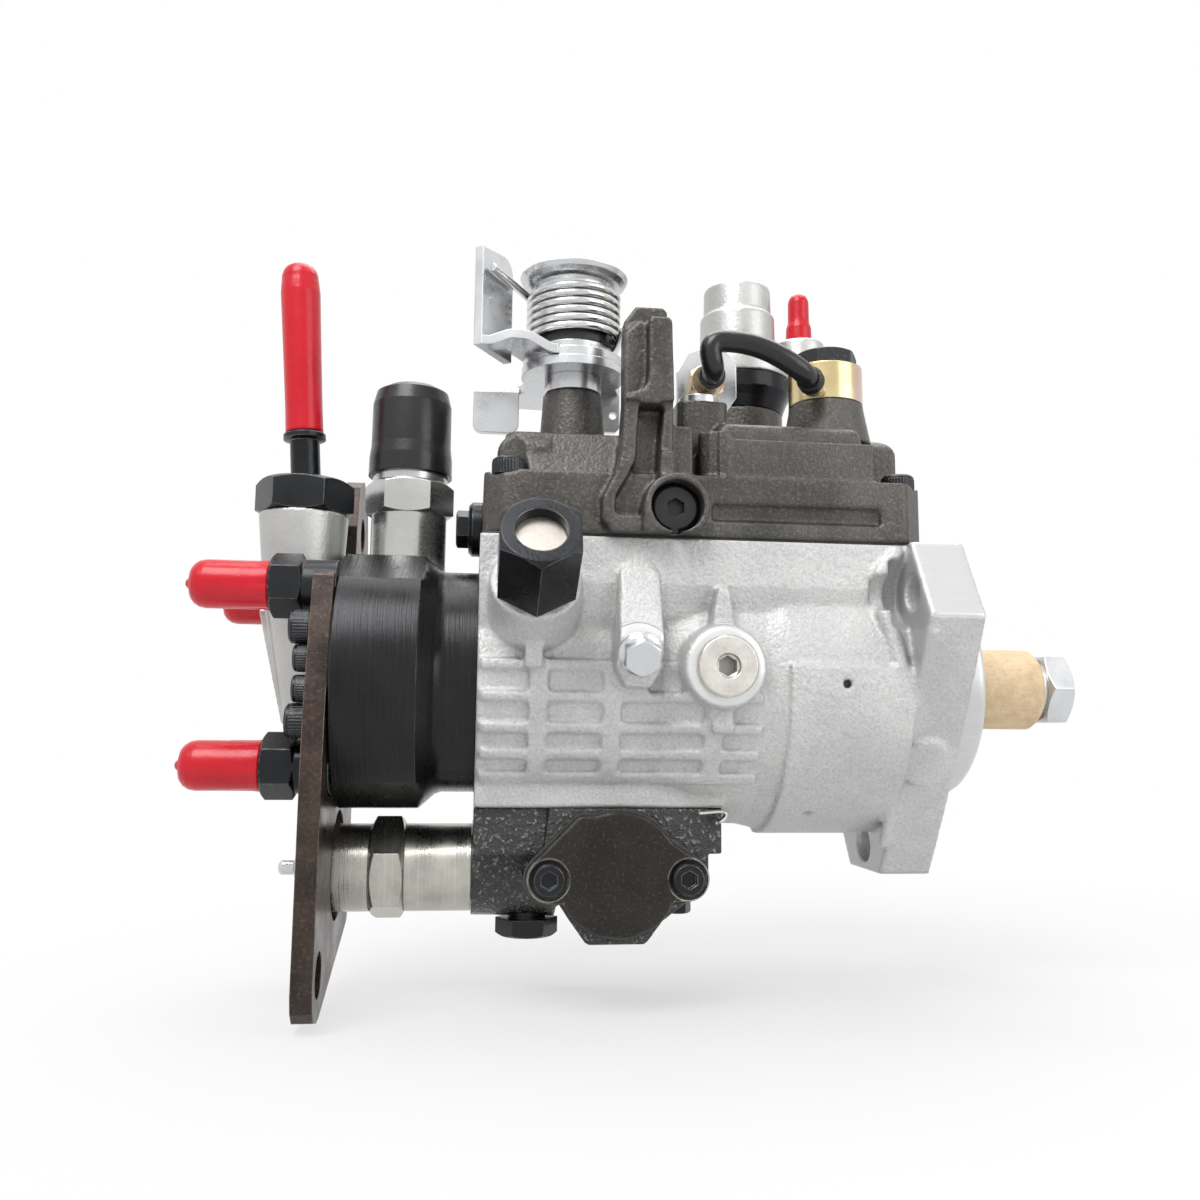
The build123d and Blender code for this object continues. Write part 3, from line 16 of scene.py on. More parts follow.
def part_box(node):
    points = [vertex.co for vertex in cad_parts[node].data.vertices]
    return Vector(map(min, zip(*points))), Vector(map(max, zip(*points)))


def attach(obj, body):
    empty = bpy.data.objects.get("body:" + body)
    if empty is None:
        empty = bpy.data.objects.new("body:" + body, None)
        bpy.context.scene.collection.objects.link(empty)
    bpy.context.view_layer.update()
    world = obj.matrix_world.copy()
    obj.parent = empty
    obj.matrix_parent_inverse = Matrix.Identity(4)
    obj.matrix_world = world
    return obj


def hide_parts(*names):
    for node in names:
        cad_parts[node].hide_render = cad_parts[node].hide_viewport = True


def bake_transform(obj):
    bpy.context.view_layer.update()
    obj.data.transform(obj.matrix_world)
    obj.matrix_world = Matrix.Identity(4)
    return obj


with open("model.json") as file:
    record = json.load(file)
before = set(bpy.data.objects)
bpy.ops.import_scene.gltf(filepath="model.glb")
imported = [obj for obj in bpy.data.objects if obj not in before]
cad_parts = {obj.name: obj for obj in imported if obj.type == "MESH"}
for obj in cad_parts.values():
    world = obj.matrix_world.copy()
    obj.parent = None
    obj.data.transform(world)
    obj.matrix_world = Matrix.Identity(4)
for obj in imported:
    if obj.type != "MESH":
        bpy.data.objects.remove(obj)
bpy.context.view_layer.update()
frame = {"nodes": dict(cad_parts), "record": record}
LOG = logging.getLogger("pump")
MM = 0.001
Colour = tuple[float, float, float]
Point = tuple[float, float, float]
Outline = Sequence[tuple[float, float]]
Grid = tuple[np.ndarray, bool]
MOST_FACES = 190000
CENTRE = (0.0, 0.0, 0.0)
FRONT = (1.0, 0.0, 0.0)
REAR = (-1.0, 0.0, 0.0)
NEAR = (0.0, -1.0, 0.0)
UP = (0.0, 0.0, 1.0)
OUTLET_SPOTS = ((-22.0, 26.5), (-22.0, -26.5), (22.0, 26.5), (22.0, -26.5))
HOSE_START, HOSE_END = (-73.0, -28.3, 95.6), (-40.35, -29.2, 94.2)
HOSE_RADIUS = 3.4
SHARP_ANGLE = math.radians(38.0)


class Along(Enum):
    """Axis of a turned surface: how fast its tool marks change along X, Y and Z."""

    NONE = None
    X = (1.0, 0.02, 0.02)
    Z = (0.02, 0.02, 1.0)


def turned_to(degrees: float) -> Point:
    """Direction square to the shaft at an angle that is measured from +Y towards +Z."""
    return 0.0, math.cos(math.radians(degrees)), math.sin(math.radians(degrees))


def shade(colour: Colour, share: float) -> Colour:
    """The colour times a share, no channel above 1."""
    return tuple(min(1.0, channel * share) for channel in colour)


class Value:
    """One shader socket carrying a number, with arithmetic that adds Math nodes."""

    def __init__(self, paint: "Paint", socket: bpy.types.NodeSocket) -> None:
        """Keeps the socket and the paint whose node tree it belongs to."""
        self.paint = paint
        self.socket = socket

    def _math(self, operation: str, first: object, second: object) -> "Value":
        """Adds one Math node.

        Args:
            operation: Blender's name of the operation.
            first: first operand, a Value or a number.
            second: second operand, a Value or a number.

        Returns:
            The node's result.
        """
        return Value(self.paint, self.paint.node(
            "ShaderNodeMath", {"operation": operation}, {0: first, 1: second}).outputs[0])

    def __add__(self, other: object) -> "Value":
        """Sum."""
        return self._math("ADD", self, other)

    def __mul__(self, other: object) -> "Value":
        """Product."""
        return self._math("MULTIPLY", self, other)

    def __sub__(self, other: object) -> "Value":
        """Difference."""
        return self._math("SUBTRACT", self, other)

    def __rsub__(self, other: object) -> "Value":
        """Difference with the number first."""
        return self._math("SUBTRACT", other, self)

    def ramp(self, low: float, high: float) -> "Value":
        """Straightens the value so that low gives 0 and high gives 1, held between them."""
        node = self.paint.node("ShaderNodeMapRange", {"clamp": True},
                               {0: self, 1: low, 2: high, 3: 0.0, 4: 1.0})
        return Value(self.paint, node.outputs[0])


class Paint:
    """Builds a node tree."""

    def __init__(self, tree: bpy.types.NodeTree) -> None:
        """Empties the tree that it works on."""
        self.tree = tree
        tree.nodes.clear()

    def node(self, kind: str, settings: dict, inputs: dict) -> bpy.types.Node:
        """Adds a node, applies its settings, then fills its sockets.

        Args:
            kind: Blender's node type.
            settings: attributes of the node.
            inputs: socket name or number to a Value, a socket or a plain value.

        Returns:
            The new node.
        """
        node = self.tree.nodes.new(kind)
        for key, value in settings.items():
            setattr(node, key, value)
        for key, value in inputs.items():
            if isinstance(value, Value):
                self.tree.links.new(value.socket, node.inputs[key])
            elif isinstance(value, bpy.types.NodeSocket):
                self.tree.links.new(value, node.inputs[key])
            else:
                node.inputs[key].default_value = value
        return node

    def blend(self, share: object, first: object, second: object) -> bpy.types.NodeSocket:
        """Mixes two colours by a share from 0 to 1."""
        def opaque(colour: object) -> object:
            """Adds alpha to a plain colour."""
            return (*colour, 1.0) if isinstance(colour, tuple) else colour
        node = self.node("ShaderNodeMix", {"data_type": "RGBA"},
                         {0: share, 6: opaque(first), 7: opaque(second)})
        return node.outputs[2]

    def mix(self, share: Value, first: bpy.types.Node, second: bpy.types.Node) -> bpy.types.Node:
        """Mixes two shaders by a share from 0 to 1."""
        return self.node("ShaderNodeMixShader", {},
                         {0: share, 1: first.outputs[0], 2: second.outputs[0]})

    def vector(self, operation: str, *operands: object) -> bpy.types.Node:
        """Adds a Vector Math node on sockets or plain vectors."""
        return self.node("ShaderNodeVectorMath", {"operation": operation},
                         dict(enumerate(operands)))

    def dot(self, first: object, second: object) -> Value:
        """Dot product of two vectors."""
        return Value(self, self.vector("DOT_PRODUCT", first, second).outputs["Value"])

    def backdrop_rays(self) -> Value:
        """1 for rays from the camera, a mirror or glass, which meet the white background."""
        path = self.node("ShaderNodeLightPath", {}, {})
        camera, glossy, through = (Value(self, path.outputs[f"Is {kind} Ray"])
                                   for kind in ("Camera", "Glossy", "Transmission"))
        return (camera + glossy + through).ramp(0.0, 1.0)


class Surface(Paint):
    """Builds one material, whose patterns read object coordinates and the surface's direction."""

    def __init__(self, name: str) -> None:
        """Starts an empty material."""
        self.material = bpy.data.materials.new(name)
        self.material.use_nodes = True
        super().__init__(self.material.node_tree)
        self.place = self.node("ShaderNodeTexCoord", {}, {}).outputs["Object"]
        self.facing = self.node("ShaderNodeNewGeometry", {}, {}).outputs["Normal"]

    def noise(self, scale: float, detail: float = 3.0, roughness: float = 0.55,
              stretch: Point = (1.0, 1.0, 1.0)) -> Value:
        """Fractal noise on object coordinates, stretched per axis."""
        mapped = self.node("ShaderNodeMapping", {}, {"Vector": self.place, "Scale": stretch})
        noise = self.node("ShaderNodeTexNoise", {}, {
            "Vector": mapped.outputs[0], "Scale": scale, "Detail": detail, "Roughness": roughness})
        return Value(self, noise.outputs[0])

    def rounded_edges(self, radius: float) -> tuple[bpy.types.NodeSocket, Value]:
        """Rounds edges in shading.

        Args:
            radius: radius of the rounding in metres.

        Returns:
            The rounded normal, and a mask that is 1 on the edges.
        """
        rounded = self.node("ShaderNodeBevel", {"samples": 6}, {"Radius": radius}).outputs[0]
        return rounded, (1.0 - self.dot(rounded, self.facing)).ramp(0.02, 0.22)

    def distance(self, centre: Point, across: Point) -> Value:
        """Distance from a line through centre; across is 0 along its axis and 1 elsewhere."""
        flat = self.vector("MULTIPLY", self.place, across)
        gap = self.vector("DISTANCE", flat.outputs[0],
                          tuple(c * a for c, a in zip(centre, across)))
        return Value(self, gap.outputs["Value"])

    def crevice_shade(self, reach: float) -> Value:
        """Mask for painted shade: 1 deep in grooves and inner corners, 0 in the open, judged over a
        reach in metres.
        """
        open_sky = self.node("ShaderNodeAmbientOcclusion", {"samples": 8, "only_local": True},
                             {"Distance": reach})
        return (1.0 - Value(self, open_sky.outputs["AO"])).ramp(0.12, 0.75)


@dataclass(frozen=True)
class Zone:
    """Where a casting was machined after casting, in millimetres.

    A point is inside where place . normal > offset for every plane, and where its distance from
    the spot's line is below the radius. With toward set, the surface must also face that way. Tone
    scales the machined colour.
    """

    planes: tuple[tuple[Point, float], ...]
    spot: Optional[tuple[Point, Point, float]] = None
    soft: float = 0.35
    toward: Optional[Point] = None
    tone: float = 1.0

    def mask(self, paint: Surface) -> Value:
        """1 inside the zone, 0 outside."""
        factors = [paint.dot(paint.place, normal).ramp((offset - self.soft) * MM, offset * MM)
                   for normal, offset in self.planes]
        if self.spot:
            centre, across, radius = self.spot
            gap = paint.distance(tuple(c * MM for c in centre), across)
            factors.append(gap.ramp((radius + self.soft) * MM, radius * MM))
        if self.toward:
            factors.append(paint.dot(paint.facing, self.toward).ramp(0.75, 0.92))
        mask = factors[0]
        for factor in factors[1:]:
            mask = mask * factor
        return mask


@dataclass(frozen=True)
class Finish:
    """A surface finish: two colours, a skin, and edges lightened partly by wear and partly by
    painted highlight.

    Lengths are in metres; grain is the noise scale per metre.
    """

    name: str
    base: Colour
    tint: Colour
    metallic: float
    rough: tuple[float, float]
    grain: float = 900.0
    grain_depth: float = 0.00010
    coarse_depth: float = 0.0
    speck: float = 0.0
    blotch: float = 45.0
    edge: Colour = (0.8, 0.8, 0.8)
    edge_share: float = 0.0
    edge_radius: float = 0.0005
    turned: Along = Along.NONE
    turned_depth: float = 0.00003
    turned_shade: float = 0.0
    sheen_tint: Colour = (0.0, 0.0, 0.0)
    sheen_tint_share: float = 0.0
    coat: float = 0.0
    pits: float = 0.0
    crevice_shade: float = 0.0
    shade_reach: float = 0.0045
    painted_glints: float = 0.0
    gloss: float = 0.5
    ring_scale: float = 2300.0
    cut_scale: float = 1500.0
    sheen_tint_scale: float = 70.0
    wear_and_highlight_scale: float = 160.0
    machined: tuple[Zone, ...] = ()
    machined_colour: Colour = (0.78, 0.78, 0.78)

    def make(self) -> bpy.types.Material:
        """Builds the material.

        Broad blotches shift the colour between base and tint, fine grain drives the bump and
        specks, light specks at the grain's peaks are painted glints, tinted streaks are partly
        painted reflection, turned pieces add close rings (noise that varies along one axis only),
        grooves get painted shade, edges lighten partly by wear and partly by painted highlight, and
        machined zones lose their cast skin; the rear flange face's low tone is painted shade.
        """
        paint = Surface(self.name)
        blotches = paint.noise(self.blotch, 4.0).ramp(0.35, 0.68)
        grain = paint.noise(self.grain, 3.0, 0.6)
        normal, edges = paint.rounded_edges(self.edge_radius)
        colour = paint.blend(blotches, self.base, self.tint)
        height = grain * self.grain_depth
        if self.coarse_depth:
            height = height + paint.noise(self.grain * 0.42, 2.0, 0.5) * self.coarse_depth
        rough = blotches * (self.rough[1] - self.rough[0]) + self.rough[0]
        rough = rough + (grain - 0.5) * 0.14
        if self.speck:
            colour = paint.blend(grain.ramp(0.52, 0.30) * self.speck, colour,
                                 shade(self.base, 0.45))
        # Painted glints: light specks in the edge colour at the grain's peaks.
        if self.painted_glints:
            colour = paint.blend(grain.ramp(0.56, 0.70) * self.painted_glints, colour, self.edge)
        # Tinted streaks along the axis: partly the plating's pink tint, partly painted reflection
        # streaks.
        if self.sheen_tint_share:
            sheen = paint.noise(self.sheen_tint_scale, 2.0, 0.5, (1.0, 1.0, 0.12)).ramp(0.48, 0.62)
            colour = paint.blend(sheen * self.sheen_tint_share, colour, self.sheen_tint)
        if self.turned is not Along.NONE:
            rings = paint.noise(self.ring_scale, 2.0, 0.6, self.turned.value)
            height = height + rings * self.turned_depth
            rough = rough + (rings - 0.5) * 0.22
            if self.turned_shade:
                colour = paint.blend(rings.ramp(0.45, 0.72) * self.turned_shade, colour,
                                     shade(self.tint, 2.2))
        if self.pits:
            holes = paint.noise(self.grain * 0.45, 2.0, 0.7).ramp(0.62, 0.72)
            height = height - holes * self.pits
            colour = paint.blend(holes * 0.45, colour, shade(self.base, 0.35))
        # Painted shade: the base colour darkens in grooves and inner corners, where shade falls.
        if self.crevice_shade:
            colour = paint.blend(paint.crevice_shade(self.shade_reach) * self.crevice_shade, colour,
                                 shade(self.base, 0.22))
        # Edges lighten towards the edge colour: partly wear, partly painted highlight along the
        # edges.
        if self.edge_share:
            wear_and_highlight = paint.noise(self.wear_and_highlight_scale, 3.0).ramp(0.3, 0.6) * self.edge_share * edges
            colour = paint.blend(wear_and_highlight, colour, self.edge)
        for zone in self.machined:
            inside = zone.mask(paint)
            lines = paint.noise(self.cut_scale, 2.0, 0.5, (0.05, 0.4, 1.0))
            # A tone below 1 darkens a zone's cut face; on the rear flange face that is painted
            # shade.
            cut_face = shade(self.machined_colour, zone.tone)
            colour = paint.blend(inside, colour, paint.blend(
                lines.ramp(0.3, 0.7) * 0.3, cut_face, shade(cut_face, 0.8)))
            height = height * (1.0 - inside) + lines * inside * 0.00002
            rough = rough * (1.0 - inside) + inside * 0.30
        bump = paint.node("ShaderNodeBump", {}, {"Strength": 1.0, "Distance": 1.0,
                                                 "Height": height, "Normal": normal})
        shader = paint.node("ShaderNodeBsdfPrincipled", {}, {
            "Metallic": self.metallic, "Coat Weight": self.coat, "Coat Roughness": 0.12,
            "Specular IOR Level": self.gloss, "Base Color": colour, "Roughness": rough,
            "Normal": bump.outputs[0]})
        paint.node("ShaderNodeOutputMaterial", {}, {"Surface": shader.outputs[0]})
        return paint.material


ACROSS_Y = (1.0, 0.0, 1.0)
EAR_ENDS = tuple(Zone(((turned_to(angle), 59.0),), tone=0.8) for angle in (30.0, 150.0, 270.0))
SPIGOT = Zone(((FRONT, 0.35),), tone=0.85)
# Painted shade: the rear-facing flange face gets its machined colour darkened to 0.62.
SHADED_FLANGE_BACK = Zone(((FRONT, -17.2), (REAR, 15.6)), toward=REAR, tone=0.62)
LOCK_BOSS = Zone(((NEAR, 49.0),), spot=((-98.8, 0.0, 5.6), ACROSS_Y, 8.9), toward=NEAR)
PLUG_BOSS = Zone(((NEAR, 30.0),), spot=((-73.8, 0.0, 2.8), ACROSS_Y, 12.6), toward=NEAR)

CAST_ALLOY = Finish("cast_alloy", (0.52, 0.52, 0.515), (0.63, 0.63, 0.62), 0.35, (0.42, 0.54),
                    grain=1150.0, grain_depth=0.00030, coarse_depth=0.00034, speck=0.30,
                    edge=(0.86, 0.86, 0.85), edge_share=0.45, edge_radius=0.0009, crevice_shade=0.9,
                    painted_glints=0.22, machined=(*EAR_ENDS, SPIGOT, SHADED_FLANGE_BACK, LOCK_BOSS, PLUG_BOSS))
SMALL_CAST = Finish("small_cast", (0.46, 0.46, 0.45), (0.58, 0.58, 0.56), 0.75, (0.32, 0.44),
                    grain=1500.0, grain_depth=0.00008, coarse_depth=0.00006, speck=0.20,
                    edge=(0.86, 0.86, 0.85), edge_share=0.4, edge_radius=0.0007, crevice_shade=0.4)
# Its lighter edges are partly wear and partly painted sheen.
DARK_CAST = Finish("dark_cast", (0.062, 0.058, 0.053), (0.110, 0.102, 0.094), 0.5, (0.32, 0.44),
                   grain=1150.0, grain_depth=0.00022, coarse_depth=0.00022, speck=0.40,
                   edge=(0.40, 0.37, 0.33), edge_share=0.8, edge_radius=0.0009, crevice_shade=0.85,
                   painted_glints=0.20)
CAST_IRON = Finish("black_cast_iron", (0.012, 0.012, 0.012), (0.026, 0.025, 0.024), 0.30,
                   (0.16, 0.28), grain=760.0, grain_depth=0.00090, pits=0.0002,
                   edge=(0.36, 0.35, 0.33), edge_share=0.6, edge_radius=0.0009, coat=0.25,
                   crevice_shade=0.6, painted_glints=0.85, gloss=0.7)
# The pale edge colour paints a highlight along the cover plate's outline.
COVER_BLACK = Finish("oiled_cover_steel", (0.016, 0.014, 0.012), (0.030, 0.026, 0.022), 0.55,
                     (0.30, 0.42), grain=1200.0, grain_depth=0.00005, blotch=60.0, painted_glints=0.05,
                     edge=(0.72, 0.67, 0.58), edge_share=2.0, edge_radius=0.0011)
BLACK_TURNED = Finish("black_turned_steel", (0.008, 0.008, 0.009), (0.018, 0.018, 0.020), 0.6,
                      (0.24, 0.36), grain_depth=0.00002, turned=Along.X, turned_depth=0.00006,
                      turned_shade=0.22, edge=(0.34, 0.34, 0.34), edge_share=0.8, crevice_shade=0.2)
BLACK_STEEL = Finish("black_steel", (0.009, 0.010, 0.012), (0.022, 0.024, 0.027), 0.6,
                     (0.22, 0.36), grain_depth=0.00006, edge=(0.42, 0.42, 0.42), edge_share=0.8,
                     edge_radius=0.0006, crevice_shade=0.4)
BOLT_BLACK = Finish("granular_black", (0.014, 0.015, 0.017), (0.034, 0.035, 0.038), 0.3,
                    (0.44, 0.60), grain=1100.0, grain_depth=0.00030, speck=0.4, painted_glints=0.2,
                    edge=(0.22, 0.22, 0.22), edge_share=0.6)
PLATE_STEEL = Finish("plate_steel", (0.026, 0.018, 0.015), (0.070, 0.046, 0.036), 0.5,
                     (0.26, 0.42), grain_depth=0.00008, blotch=90.0, speck=0.45, painted_glints=0.12,
                     edge=(0.42, 0.30, 0.22), edge_share=1.0, crevice_shade=0.3)
ZINC = Finish("zinc_plate", (0.58, 0.59, 0.60), (0.70, 0.71, 0.72), 0.95, (0.24, 0.38),
              grain_depth=0.00002, blotch=60.0, edge=(0.95, 0.95, 0.95), edge_share=0.5,
              crevice_shade=0.25)
DISC_STEEL = Finish("seat_disc_steel", (0.34, 0.31, 0.28), (0.46, 0.43, 0.39), 0.9, (0.30, 0.42),
                    grain_depth=0.00003, speck=0.2, edge=(0.85, 0.80, 0.72), edge_share=0.8,
                    crevice_shade=0.7)
PLUG_STEEL = Finish("satin_plug", (0.64, 0.61, 0.56), (0.76, 0.74, 0.69), 0.85, (0.26, 0.38),
                    grain_depth=0.00003, blotch=140.0, speck=0.15, edge=(0.95, 0.94, 0.92),
                    edge_share=0.6, crevice_shade=0.8)
SOLENOID_STEEL = Finish("ground_steel", (0.50, 0.50, 0.49), (0.62, 0.62, 0.61), 0.95,
                        (0.22, 0.34), grain_depth=0.00001, turned=Along.Z, turned_depth=0.00001,
                        edge=(0.9, 0.9, 0.9), edge_share=0.6, crevice_shade=0.15)
TURNED_STEEL = Finish("turned_steel", (0.40, 0.39, 0.35), (0.56, 0.55, 0.49), 0.95, (0.22, 0.36),
                      grain_depth=0.00002, turned=Along.X, turned_depth=0.00004, blotch=110.0,
                      turned_shade=0.15, edge=(0.85, 0.85, 0.80), edge_share=0.5, crevice_shade=0.2)
SPRING_STEEL = Finish("spring_steel", (0.60, 0.60, 0.60), (0.72, 0.72, 0.72), 1.0, (0.14, 0.26),
                      grain_depth=0.00002, crevice_shade=0.85)
BRASS = Finish("brass_plate", (0.62, 0.48, 0.24), (0.74, 0.64, 0.40), 0.95, (0.20, 0.32),
               grain_depth=0.00002, edge=(0.95, 0.88, 0.66), edge_share=0.5,
               sheen_tint=(0.60, 0.42, 0.46), sheen_tint_share=0.6, crevice_shade=0.4)
VINYL = Finish("red_vinyl", (0.56, 0.006, 0.017), (0.66, 0.011, 0.028), 0.0, (0.24, 0.34),
               grain=300.0, coat=0.10, gloss=0.32)
RUBBER = Finish("black_rubber", (0.008, 0.008, 0.009), (0.014, 0.014, 0.015), 0.0, (0.24, 0.36),
                grain=420.0, coat=0.10, gloss=0.42)
PLASTIC = Finish("black_plastic", (0.012, 0.012, 0.012), (0.020, 0.020, 0.020), 0.0, (0.34, 0.46),
                 grain_depth=0.00004)
BOARD = Finish("kraft_board", (0.62, 0.46, 0.28), (0.76, 0.58, 0.38), 0.0, (0.74, 0.88),
               blotch=220.0, speck=0.2)
PAPER = Finish("gasket_paper", (0.06, 0.065, 0.07), (0.10, 0.10, 0.10), 0.0, (0.8, 0.9))


WORN_BY: tuple[tuple[Finish, str], ...] = (
    (CAST_ALLOY, "main_housing"),
    (SMALL_CAST, "inlet_housing boost_cover"),
    (DARK_CAST, "governor_cover"),
    (CAST_IRON, "advance_housing"),
    (COVER_BLACK, "advance_cover"),
    (BLACK_TURNED, "hydraulic_head"),
    (PLATE_STEEL, "support_plate"),
    (BLACK_STEEL, "delivery_unions plate_screws cover_screws advance_screws advance_plugs "
                  "inlet_cap_nut inlet_tube inlet_union boost_body cover_end_plug"),
    (BOLT_BLACK, "banjo_bolt"),
    (SOLENOID_STEEL, "solenoid_body"),
    (PLUG_STEEL, "side_plug wire_clip"),
    (ZINC, "shaft_lock_bolt leak_bracket throttle_bush lower_lever throttle_lever spring_cup "
           "shaft_nut bleed_nipple"),
    (DISC_STEEL, "union_disc"),
    (SPRING_STEEL, "throttle_spring advance_spring"),
    (TURNED_STEEL, "cold_start_sleeve throttle_shaft drive_shaft governor_weights cam_ring "
                   "distributor_rotor advance_piston metering_valve solenoid_plunger "
                   "boost_diaphragm"),
    (BRASS, "banjo_ring leak_nut shaft_bearing"),
    (PLASTIC, "spring_bush"),
    (RUBBER, "cover_plug solenoid_cap leak_hose shaft_seal"),
    (VINYL, "inlet_cap port_cap outlet_cap_1 outlet_cap_2 outlet_cap_3 outlet_cap_4"),
    (BOARD, "shaft_sleeve"),
    (PAPER, "cover_gasket advance_gasket"),
)


@dataclass
class Wardrobe:
    """Which CAD node wears which finish."""

    plan: dict[str, Finish] = field(default_factory=lambda: {
        node: finish for finish, nodes in WORN_BY for node in nodes.split()})
    made: dict[str, bpy.types.Material] = field(default_factory=dict)

    def material(self, finish: Finish) -> bpy.types.Material:
        """Builds a finish once and hands out the same material afterwards."""
        if finish.name not in self.made:
            self.made[finish.name] = finish.make()
        return self.made[finish.name]

    def dress(self) -> None:
        """Gives every CAD node its material."""
        for name, node in frame["nodes"].items():
            finish = self.plan[name]
            node.data.materials.clear()
            node.data.materials.append(self.material(finish))
            LOG.info("dressed %s in %s", name, finish.name)


@dataclass
class Group:
    """A group of pieces that are dressed from one wardrobe."""

    wardrobe: Wardrobe

    def place(self, name: str, data: Union[bpy.types.Mesh, bpy.types.Curve], finish: Finish,
              like: str, body: Optional[str] = "pump", instead: bool = True) -> bpy.types.Object:
        """Makes an object of a mesh or curve, dresses it and hangs it on a body.

        Args:
            name: name of the piece.
            data: its shape, in place.
            finish: what it wears.
            like: CAD node that it goes with; that node's material slot is looked up but not used.
            body: body that it rides on, or None to leave it on no body.
            instead: whether it is shown in place of that CAD node.

        Returns:
            The piece.
        """
        data.materials.clear()
        data.materials.append(self.wardrobe.material(finish))
        piece = bpy.data.objects.new(name, data)
        bpy.context.scene.collection.objects.link(piece)
        if body is not None:
            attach(piece, body)
        next(part["material_slot"] for part in frame["record"]["subparts"]
                            if part["node"] == like)
        if instead:
            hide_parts(like)
        LOG.info("placed %s", name)
        return piece


@dataclass
class Castings(Group):
    """Cast pieces, remade from their solids with softened edges."""

    voxels: tuple[tuple[str, float], ...] = (
        ("main_housing", 0.75), ("governor_cover", 0.65), ("advance_housing", 0.6),
        ("inlet_housing", 0.6), ("boost_cover", 0.5))
    weld: float = 0.000001

    def skin(self, raw: bpy.types.Object) -> bpy.types.Mesh:
        """The object's mesh with its modifiers applied."""
        graph = bpy.context.evaluated_depsgraph_get()
        return bpy.data.meshes.new_from_object(raw.evaluated_get(graph))

    def soften(self, name: str, voxel: float) -> None:
        """Remeshes one casting, relaxes it and thins it to the most faces that a piece may have.

        Args:
            name: CAD node.
            voxel: grid step in millimetres; edges end up with about that radius.
        """
        mesh = frame["nodes"][name].data.copy()
        form = bmesh.new()
        form.from_mesh(mesh)
        bmesh.ops.remove_doubles(form, verts=form.verts, dist=self.weld)
        form.to_mesh(mesh)
        form.free()
        raw = bpy.data.objects.new(f"{name}_raw", mesh)
        bpy.context.scene.collection.objects.link(raw)
        remesh = raw.modifiers.new("skin", "REMESH")
        remesh.mode = "VOXEL"
        remesh.voxel_size = voxel * MM
        relax = raw.modifiers.new("relax", "SMOOTH")
        relax.factor = 0.5
        relax.iterations = 2
        dense_mesh = self.skin(raw)
        faces = 2 * len(dense_mesh.polygons)
        raw.modifiers.clear()
        raw.data = dense_mesh
        if faces > MOST_FACES:
            thin = raw.modifiers.new("thin", "DECIMATE")
            thin.ratio = MOST_FACES / faces
        skin = self.skin(raw)
        bpy.data.objects.remove(raw)
        skin.shade_smooth()
        self.place(f"{name}_casting", skin, self.wardrobe.plan[name], name)

    def build(self) -> None:
        """Softens every casting."""
        for name, voxel in self.voxels:
            self.soften(name, voxel)


def dense(outline: Outline, step: float) -> np.ndarray:
    """Resamples an outline: its corners, and points every step along it by linear blending."""
    points = np.asarray(outline, float)
    run = np.concatenate([[0.0], np.cumsum(np.linalg.norm(np.diff(points, axis=0), axis=1))])
    stops = np.unique(np.round(np.concatenate([run, np.arange(0.0, run[-1], step)]), 6))
    return np.column_stack([np.interp(stops, run, points[:, axis]) for axis in range(2)])


@dataclass
class Lathe:
    """A turned surface about a line, which may be fluted, folded or seamed.

    point(s, a) = origin + height(s) * axis + radius(s, a) * (cos(a) * side + sin(a) * rise)
    """

    origin: Point
    axis: Point
    outline: Outline
    count: int = 96
    step: float = 1.0
    ring: bool = True

    def sheets(self) -> tuple[np.ndarray, np.ndarray, np.ndarray]:
        """Radius, height and angle as arrays that spread over the grid."""
        outline = list(self.outline) + [self.outline[0]] if self.ring else list(self.outline)
        rows = dense(outline, self.step)
        rows = rows[:-1] if self.ring else rows
        turn = np.linspace(0.0, 2.0 * np.pi, self.count, endpoint=False)
        return rows[:, :1], rows[:, 1:], turn[None, :]

    def grid(self, radius: np.ndarray, height: np.ndarray, turn: np.ndarray) -> np.ndarray:
        """Points in metres, rows along the outline and columns round the axis."""
        axis = np.asarray(self.axis, float) / np.linalg.norm(self.axis)
        helper = UP if abs(axis[2]) < 0.9 else FRONT
        side = np.cross(helper, axis)
        side /= np.linalg.norm(side)
        rise = np.cross(axis, side)
        radius, height, turn = np.broadcast_arrays(radius, height, turn)
        round_part = np.cos(turn)[..., None] * side + np.sin(turn)[..., None] * rise
        points = np.asarray(self.origin) + height[..., None] * axis + radius[..., None] * round_part
        return points * MM


